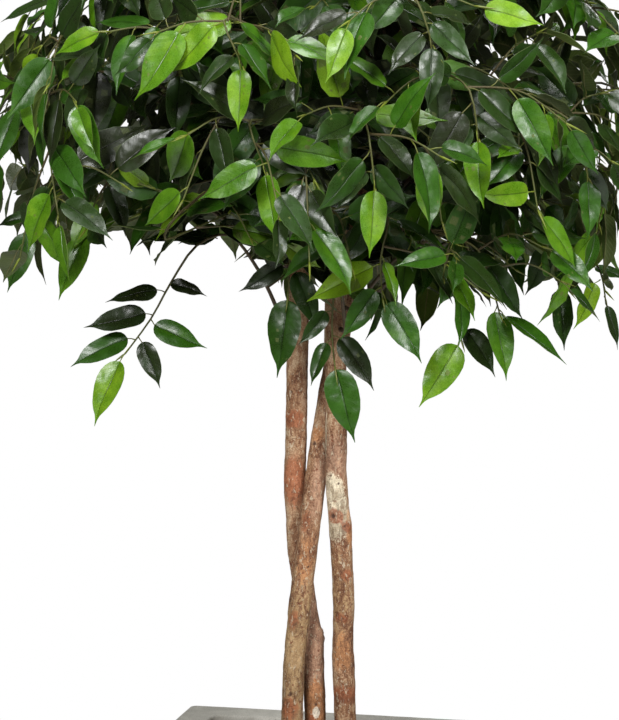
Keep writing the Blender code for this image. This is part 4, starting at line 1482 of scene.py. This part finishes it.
def fillPose(site, attempt):
    # Like a leaf of the frame, but turned more freely
    chance = random.Random(site["seed"] * 7 + 3 + attempt * 7919)
    length = chance.uniform(*fillShape["leafLength"]) * (1 - 0.22 * site["youth"] ** 3)
    width = length * chance.uniform(*leafShape["slenderness"])
    facing = crownFacing(site["root"])
    away = Matrix.Rotation(chance.uniform(-0.7, 0.7), 3, facing) @ site["stalk"]
    hang = chance.uniform(-0.05, 0.54)
    lean = chance.gauss(0.0, 0.22)
    axis = (away * (1 - hang) + down * hang + facing * lean).normalized()
    start = site["root"] + stalkWay(away, axis) * leafShape["petiole"] * chance.uniform(0.8, 1.3)
    face = facing + up * chance.uniform(-0.1, 0.6)
    face = (face - axis * face.dot(axis)).normalized()
    face = Matrix.Rotation(chance.gauss(0.0, 0.5), 3, axis) @ face
    return start, axis, face, length, width


def growLeaf(spray, site, twigs):
    # One more leaf, left out where there is no room for it
    spared = fillShape["ragged"] * random.Random(site["seed"] * 3 + 11).uniform(0.0, 1.0)
    spared += 0.6 * fillShape["ragged"] * max(noise.noise(site["root"] * 13.0), 0.0)
    for attempt in range(fillShape["tries"]):
        pose = fillPose(site, attempt)
        tip = pose[0] + pose[1] * pose[3]
        if hangsLow(tip - up * spared, fillShape["underside"]) or outsideCrown(tip):
            continue
        middle = pose[0] + pose[1] * pose[3] / 2
        near = grown.near(middle, 2 * leafShape["length"][1])
        verts, faces = plainBlade(site, pose, fillShape["clearance"])
        outer = treeOf(verts[3:], [[i - 3 for i in f] for f in faces if min(f) >= 3])
        if hits(outer, near) or hits(outer, twigs):
            continue
        grown.add(middle, treeOf(*plainBlade(site, pose)))
        spray["leaves"].append((site, pose))
        return True
    return False


def twigLeaves(spray, line, spacing, first, last, seed, twigs, youth):
    # Leaves on one side of a twig and the other, as close as they grow
    count = max(1, round(lineLengths(line)[-1] * (last - first) / spacing))
    hand = 1 if seed % 2 else -1
    taken = [site["root"] for site in spray["sites"]]
    for k in range(count):
        share = first + (last - first) * (k + 0.5) / count
        point, tangent = pointOn(line, share)
        hand = -hand
        if taken and min((point - t).length for t in taken) < fillShape["leafRoom"]:
            continue
        lateral = tangent.cross(crownFacing(point)).normalized() * hand
        stalk = (tangent * 0.6 + lateral * 0.8).normalized()
        growLeaf(spray, siteOf(point, stalk, seed * 97 + k, youth=youth * share), twigs)


def growSideTwigs(spray, twigs):
    # Short twigs off the spray's own, each arching over and down
    line = spray["line"]
    first, last = fillShape["sideShares"]
    length = lineLengths(line)[-1]
    count = max(1, round(length * (last - first) / fillShape["sideSpacing"]))
    for k in range(count):
        for attempt in range(fillShape["sideTries"]):
            chance = random.Random(90000 + spray["number"] * 400 + k * 20 + attempt)
            share = first + (last - first) * (k + chance.uniform(0.2, 0.8)) / count
            point, tangent = pointOn(line, share)
            facing = crownFacing(point)
            hand = 1 if (k + spray["number"]) % 2 else -1
            lateral = tangent.cross(facing).normalized() * hand
            way = tangent * chance.uniform(0.15, 0.6) + lateral * chance.uniform(0.6, 1.0)
            way = (way + facing * chance.uniform(-0.25, 0.55)).normalized()
            reach = chance.uniform(*fillShape["sideLength"])
            drop = down * reach * chance.uniform(0.5, 1.3) * fillShape["sideDrop"]
            middle = point + way * reach * 0.5 + drop * 0.15
            end = point + way * reach * 0.92 + drop
            if outsideCrown(end) or hangsLow(end - up * 0.03, fillShape["underside"]):
                continue
            side = smoothLine([point, middle, end], 4)
            fall = fillShape["sideRadii"]
            radii = [fall[0] + (fall[1] - fall[0]) * i / (len(side) - 1) for i in range(len(side))]
            tree = fatTube(side[2:], radii[2:], fillShape["clearance"])
            if hits(tree, twigs) or hits(tree, grown.near(middle, 0.13)):
                continue
            twigs.append(tree)
            spray["sideTwigs"].append((side, radii, chance.random()))
            break


def dressTwig(spray, k, twigs):
    # The leaves of one side twig
    side = spray["sideTwigs"][k][0]
    seed = 3000 + spray["number"] * 61
    growLeaf(spray, siteOf(side[-1], tangentAt(side, len(side) - 1), seed * 97 + 50 + k, True, 1.0), twigs)
    twigLeaves(spray, side, fillShape["sideLeafSpacing"], 0.18, 0.93, seed + 1 + k, twigs, 0.9)


def fillCrown():
    twigs = [s["own"] for s in sprays] + list(stemTrees.values())
    for spray in sprays:
        growSideTwigs(spray, twigs)
    for spray in sprays:
        own = [tree for tree in twigs if tree is not spray["own"]]
        for k in range(len(spray["sideTwigs"])):
            dressTwig(spray, k, own)
        twigLeaves(spray, spray["line"], fillShape["leafSpacing"], fillShape["firstShare"],
                   fillShape["lastShare"], 3000 + spray["number"] * 61, own, 0.6)
    return twigs


def fillHoles(twigs):
    # More side twigs, towards the places of the crown where no leaf hangs yet
    roots = []
    for spray in sprays:
        for line in [spray["line"]] + [side for side, _, _ in spray["sideTwigs"]]:
            run = range(6, 38) if line is spray["line"] else range(8, 32, 3)
            roots += [(pointOn(line, j / 40)[0], spray) for j in run]
    spots = np.array([tuple(root) for root, _ in roots])
    least, most = fillShape["holeReach"]
    chance = random.Random(515)
    for share, count, room in fillShape["holeShells"]:
        for k in range(count):
            bearing = math.radians(crownShape["goldenAngle"]) * k
            rise = math.asin(-0.80 + 1.78 * (k + 0.5) / count)
            spot = fullPoint(bearing, rise, share)
            if hangsLow(spot - up * 0.045, fillShape["underside"]) or grown.near(spot, room):
                continue
            away = np.linalg.norm(spots - np.array(spot), axis=1)
            cost = away + 0.8 * np.maximum(spot.z - spots[:, 2], 0.0) + 9.0 * (away < least)
            for j in np.argsort(cost)[:3 * fillShape["holeTries"]:3]:
                root, spray = roots[j]
                if not least < (spot - root).length < most:
                    continue
                middle = root.lerp(spot, 0.5) + up * (spot - root).length * chance.uniform(0.06, 0.20)
                side = smoothLine([root, middle, spot], 4)
                fall = fillShape["sideRadii"]
                radii = [fall[0] + (fall[1] - fall[0]) * i / (len(side) - 1) for i in range(len(side))]
                tree = fatTube(side[2:], radii[2:], fillShape["clearance"])
                if hits(tree, twigs) or hits(tree, grown.near(middle, 0.13)):
                    continue
                twigs.append(tree)
                spray["sideTwigs"].append((side, radii, chance.random()))
                own = [tree for tree in twigs if tree is not spray["own"]]
                dressTwig(spray, len(spray["sideTwigs"]) - 1, own)
                break


fillHoles(fillCrown())
allLeaves = sum(len(spray["leaves"]) for spray in sprays)
print("crown filled:", allLeaves, "leaves,", sum(len(s["sideTwigs"]) for s in sprays), "side twigs")


# Fine leaves, stalks, buds and twigs

bladeShape = {
    # how far along the blade, and half its width there as a share of the widest
    "outline": ((0.00, 0.070), (0.02, 0.37), (0.06, 0.64), (0.13, 0.86), (0.22, 0.985), (0.33, 1.01),
                (0.46, 0.96), (0.58, 0.84), (0.69, 0.64), (0.77, 0.42), (0.835, 0.21), (0.90, 0.090),
                (1.00, 0.012)),
    "columns": (-1.0, -0.62, -0.09, 0.0, 0.09, 0.62, 1.0),
    # for leaves inside the crown
    "innerOutline": ((0.00, 0.070), (0.06, 0.64), (0.22, 0.98), (0.42, 0.98), (0.61, 0.79), (0.77, 0.42),
                     (0.87, 0.13), (1.00, 0.012)),
    "innerColumns": (-1.0, -0.09, 0.0, 0.09, 1.0),
    "innerShare": 0.86,  # from how far out in the crown a leaf is a fine one
    "thick": 0.00045,
    "groove": 0.00030,
    "ridge": 0.00060,
    "foldTurn": (0.08, 0.40),  # radians each half stands up from flat
    "edgeCurl": (0.00, 0.16),
    "waves": (1.2, 3.0),
    "waveHeight": (0.0003, 0.0014),
    "crumple": 0.0007,
    "twist": 0.40,
    "sideBend": 0.045,
    "tipSwing": 0.055,
    "tipHook": 0.05,
}

twigLook = {
    "sides": 8,
    "thinner": (0.78, 0.48),  # at the root and at the end, against the frame's twig
    "stepsBetween": 3,
    "sideSides": 5,
    "stalkSides": 5,
    "stalkRadii": (0.00085, 0.00062, 0.00055, 0.00060),
    "budLength": (0.013, 0.024),
    "budSteps": ((0.0, 0.0008), (0.2, 0.00125), (0.5, 0.0010), (0.8, 0.0005), (1.0, 0.00008)),
}

# The shown leaves' tones one by one, from old and dark at 0 to young and bright at 1
shownTones = {
    "spray_fringe_far_left": (0.06, 0.02, 0.10, 0.56, 0.48, 0.10, 0.90),
    "spray_fringe_stem_left": (0.12, 0.38, 0.30),
    "spray_fringe_stem_right": (0.34, 0.08, 0.50, 0.30),
    "spray_fringe_middle": (0.55, 0.50, 0.80),
    "spray_fringe_right_low": (0.86, 0.56, 0.14, 0.46),
    "spray_fringe_right": (0.56, 0.64, 0.30, 0.20),
    "spray_fringe_far_right": (0.30, 0.42, 0.22, 0.60),
    "spray_fringe_left": (0.80, 0.74, 0.20, 0.10),
    "spray_fringe_edge_left": (0.55, 0.30, 0.78),
    "spray_front_middle": (0.84, 0.15, 0.30),
    "spray_front_left": (0.80, 0.34, 0.12),
    "spray_front_left_high": (0.86, 0.18, 0.40),
    "spray_front_left_out": (0.30, 0.12, 0.24),
    "spray_front_right": (0.82, 0.26, 0.16),
    "spray_front_right_high": (0.24, 0.14, 0.30),
    "spray_front_right_out": (0.52, 0.30, 0.62),
}


def bladeFaces(rows, columns):
    # One leaf's faces, the same for every leaf of a kind: top, underside, and the rim between them
    under = rows * columns
    top = []
    below = []
    rim = []
    for i in range(rows - 1):
        for j in range(columns - 1):
            a = i * columns + j
            quad = (a, a + 1, a + 1 + columns, a + columns)
            top.append(quad)
            below.append(tuple(reversed([q + under for q in quad])))
    for i in range(rows - 1):
        a = i * columns
        b = a + columns - 1
        rim.append((a, a + columns, a + columns + under, a + under))
        rim.append((b + columns, b, b + under, b + columns + under))
    for j in range(columns - 1):
        b = (rows - 1) * columns + j
        rim.append((j + 1, j, j + under, j + 1 + under))
        rim.append((b, b + 1, b + 1 + under, b + under))
    edge = np.zeros(2 * under, np.int8)
    for sheet in (0, 1):
        for i in range(rows):
            for j in range(columns):
                if i in (0, rows - 1) or j in (0, columns - 1):
                    edge[sheet * under + i * columns + j] = sheet + 1
    finish = np.array([0] * len(top) + [1] * len(below) + [1] * len(rim))
    return {"faces": np.array(top + below + rim), "finish": finish, "edge": edge}


def bladeKind(outline, columns):
    along, halves = np.array(bladeShape[outline]).T
    across = np.array(bladeShape[columns])
    return {"along": along, "halves": halves, "columns": across, **bladeFaces(len(along), len(across))}


bladeKinds = {"outer": bladeKind("outline", "columns"), "inner": bladeKind("innerOutline", "innerColumns")}


def unit(vectors):
    return vectors / np.linalg.norm(vectors, axis=-1, keepdims=True)


def fineBlade(site, pose, kind, shade):
    # The leaf's two sheets as points, and each point's across, along and painted shade
    start, axis, face, length, width = pose
    chance = random.Random(site["seed"] * 13 + 5)
    start, axis, face = (np.array(v) for v in (start, axis, face))
    along, halves, columns = kind["along"], kind["halves"], kind["columns"]
    calm = 0.75 if site["laid"] else 1.0
    sag = leafShape["sag"] * length
    side = chance.uniform(-1, 1) * bladeShape["sideBend"] * length * calm
    hook = chance.uniform(0.0, 1.0) * bladeShape["tipHook"] * length * calm
    across0 = np.cross(axis, face)
    swing = chance.uniform(-1, 1) * bladeShape["tipSwing"] * length * calm
    sway = side * along * (along - 1.0) * 2.0 + swing * np.maximum(along - 0.72, 0.0) / 0.28
    middle = (start + np.outer(along * length, axis) - np.outer(sag * along ** 2, face)
              - np.outer(hook * along ** 6, face) + np.outer(sway, across0))
    tangent = unit(np.gradient(middle, along, axis=0))
    across = unit(np.cross(tangent, face))
    out = np.cross(across, tangent)
    turn = chance.uniform(-1, 1) * bladeShape["twist"] * (along - 0.2) * calm
    c, s = np.cos(turn)[:, None], np.sin(turn)[:, None]
    across, out = across * c + out * s, out * c - across * s
    fold = chance.uniform(*bladeShape["foldTurn"])
    curl = chance.uniform(*bladeShape["edgeCurl"])
    waves = chance.uniform(*bladeShape["waves"])
    height = chance.uniform(*bladeShape["waveHeight"])
    phase = chance.uniform(0, math.tau)
    reach = halves * width / 2
    flat = reach[:, None] * columns[None, :]
    far = np.abs(flat)
    lift = far * math.sin(fold) - curl * far * np.abs(columns)[None, :] ** 2
    hands = np.where(columns < 0, 0.0, 2.1)
    ripple = np.sin(math.tau * waves * along[:, None] + phase + hands[None, :])
    bumps = np.sin(9.0 * along[:, None] + 2.3 * columns[None, :] + 2 * phase)
    lift += bladeShape["crumple"] * bumps * np.minimum(reach / (width / 3), 1.0)[:, None]
    lift += height * ripple * np.abs(columns)[None, :] ** 1.5 * np.minimum(reach / (width / 4), 1.0)[:, None]
    spread = flat * math.cos(fold)
    thick = bladeShape["thick"] * np.minimum(1.0, 0.3 + reach / (width / 2))[:, None]
    rib = np.exp(-(columns / 0.05) ** 2)[None, :] * np.minimum(1.0, 1.6 * (1.05 - along))[:, None]
    topLift = lift + thick / 2 - bladeShape["groove"] * rib
    underLift = lift - thick / 2 - bladeShape["ridge"] * rib
    sheets = [middle[:, None, :] + across[:, None, :] * spread[..., None] + out[:, None, :] * x[..., None]
              for x in (topLift, underLift)]
    place = np.zeros((len(along), len(columns), 3))
    place[..., 0] = columns[None, :]
    place[..., 1] = along[:, None]
    # the leaf's painted shade, for how deep in the crown it hangs
    place[..., 2] = shade
    verts = np.vstack([sheet.reshape(-1, 3) for sheet in sheets])
    return verts, np.tile(place.reshape(-1, 3), (2, 1)), middle, out


def leafTone(spray, site, chance):
    # How young the leaf is: most are old and dark, the ones at twig ends bright
    if site["laid"] and spray["name"] in shownTones:
        return shownTones[spray["name"]][site["seed"] % 200 - 180]
    if site["ends"]:
        return min(max(chance.gauss(0.60, 0.22), 0.10), 0.96)
    draw = chance.random()
    mood = random.Random(spray["number"] + 17).uniform(-0.12, 0.16)
    if draw < 0.50:
        tone = chance.uniform(0.0, 0.30)
    elif draw < 0.91:
        tone = chance.uniform(0.30, 0.64)
    else:
        tone = chance.uniform(0.66, 0.94)
    return min(max(tone + mood + 0.12 * (site["youth"] - 0.4), 0.0), 1.0)


def addLeaf(pile, spray, site, pose):
    chance = random.Random(site["seed"] * 5 + 1)
    tone = leafTone(spray, site, chance)
    far = outerShare(pose[0] + pose[1] * pose[3] / 2)
    outer = site["laid"] or far > bladeShape["innerShare"]
    kind = bladeKinds["outer" if outer else "inner"]
    # painted shade: the deeper in the crown a leaf hangs, the darker it is painted; the shown leaves get none
    shade = 1.0 if site["laid"] else min(max((far - 0.45) / 0.50, 0.0), 1.0)
    verts, place, middle, out = fineBlade(site, pose, kind, shade)
    pile["rims"].append((pile["count"], kind["edge"]))
    addPart(pile, verts, kind["faces"], kind["finish"], tone, place)
    start = Vector(middle[0])
    joint = Vector(middle[1])
    root = site["root"]
    lift = Vector(out[0]) * (start - root).length * 0.10
    stalk = [root, root.lerp(start, 0.5) + lift, start, joint - Vector(out[1]) * 0.0004]
    verts, faces = tube(stalk, twigLook["stalkRadii"], twigLook["stalkSides"] if outer else 3)
    addPart(pile, verts, faces, 3, min(1.0, 0.25 + 0.75 * tone))


def addTwig(pile, line, radii, sides, ages, thinner):
    fine = smoothLine(line, twigLook["stepsBetween"])
    last = len(fine) - 1
    at = np.linspace(0.0, 1.0, len(radii))
    shares = np.linspace(0.0, 1.0, last + 1)
    thick = np.interp(shares, at, radii) * np.interp(shares, (0.0, 1.0), thinner)
    verts, faces = tube(fine, thick.tolist(), sides)
    tones = np.repeat(np.interp(shares, (0.0, 1.0), ages), sides)
    addPart(pile, verts, faces, 2, tones)


def addBud(pile, point, way, chance):
    # The rolled-up next leaf at a twig's end
    length = chance.uniform(*twigLook["budLength"])
    line = [point + way * length * share for share, _ in twigLook["budSteps"]]
    verts, faces = tube(line, [radius for _, radius in twigLook["budSteps"]], twigLook["stalkSides"])
    addPart(pile, verts, faces, 3, chance.uniform(0.6, 1.0))


def makeSpray(spray):
    pile = newPile()
    for site, pose in spray["leaves"]:
        addLeaf(pile, spray, site, pose)
    addTwig(pile, spray["line"], spray["radii"], twigLook["sides"], (0.0, 0.85), twigLook["thinner"])
    chance = random.Random(spray["number"] + 400)
    ends = [spray["line"]] + [side for side, _, _ in spray["sideTwigs"]]
    for side, radii, _ in spray["sideTwigs"]:
        addTwig(pile, side, radii, twigLook["sideSides"], (0.35, 1.0), (1.0, 1.0))
    for line in ends:
        way = (tangentAt(line, len(line) - 1) + crownFacing(line[-1]) * 0.35).normalized()
        addBud(pile, line[-1], way, chance)
    piece = newPiece(spray["name"].replace("spray_", "leafySpray_"), np.vstack(pile["verts"]).tolist(),
                     pile["faces"], sprayFinishes)
    mesh = piece.data
    mesh.polygons.foreach_set("material_index", np.concatenate(pile["finish"]).astype(np.int32))
    putAttribute(mesh, "leafTone", "FLOAT", np.concatenate(pile["tone"]))
    # each leaf point's across, along and painted shade
    putAttribute(mesh, "leafPlaceAndShade", "FLOAT_VECTOR", np.vstack(pile["place"]))
    creaseRims(mesh, pile["rims"])
    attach(piece, "root")
    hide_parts(spray["name"])
    return len(mesh.polygons)


def creaseRims(mesh, rims):
    # A leaf's top and underside shade apart, also round its thin rim
    sheet = np.zeros(len(mesh.vertices), np.int8)
    for start, edge in rims:
        sheet[start:start + len(edge)] = edge
    ends = np.empty(len(mesh.edges) * 2, np.int32)
    mesh.edges.foreach_get("vertices", ends)
    ends = sheet[ends.reshape(-1, 2)]
    sharp = (ends[:, 0] > 0) & (ends[:, 0] == ends[:, 1])
    attribute = mesh.attributes.new("sharp_edge", "BOOLEAN", "EDGE")
    attribute.data.foreach_set("value", sharp)


faceCount = sum(makeSpray(spray) for spray in sprays)
print("sprays made:", len(sprays), "pieces,", faceCount, "faces")
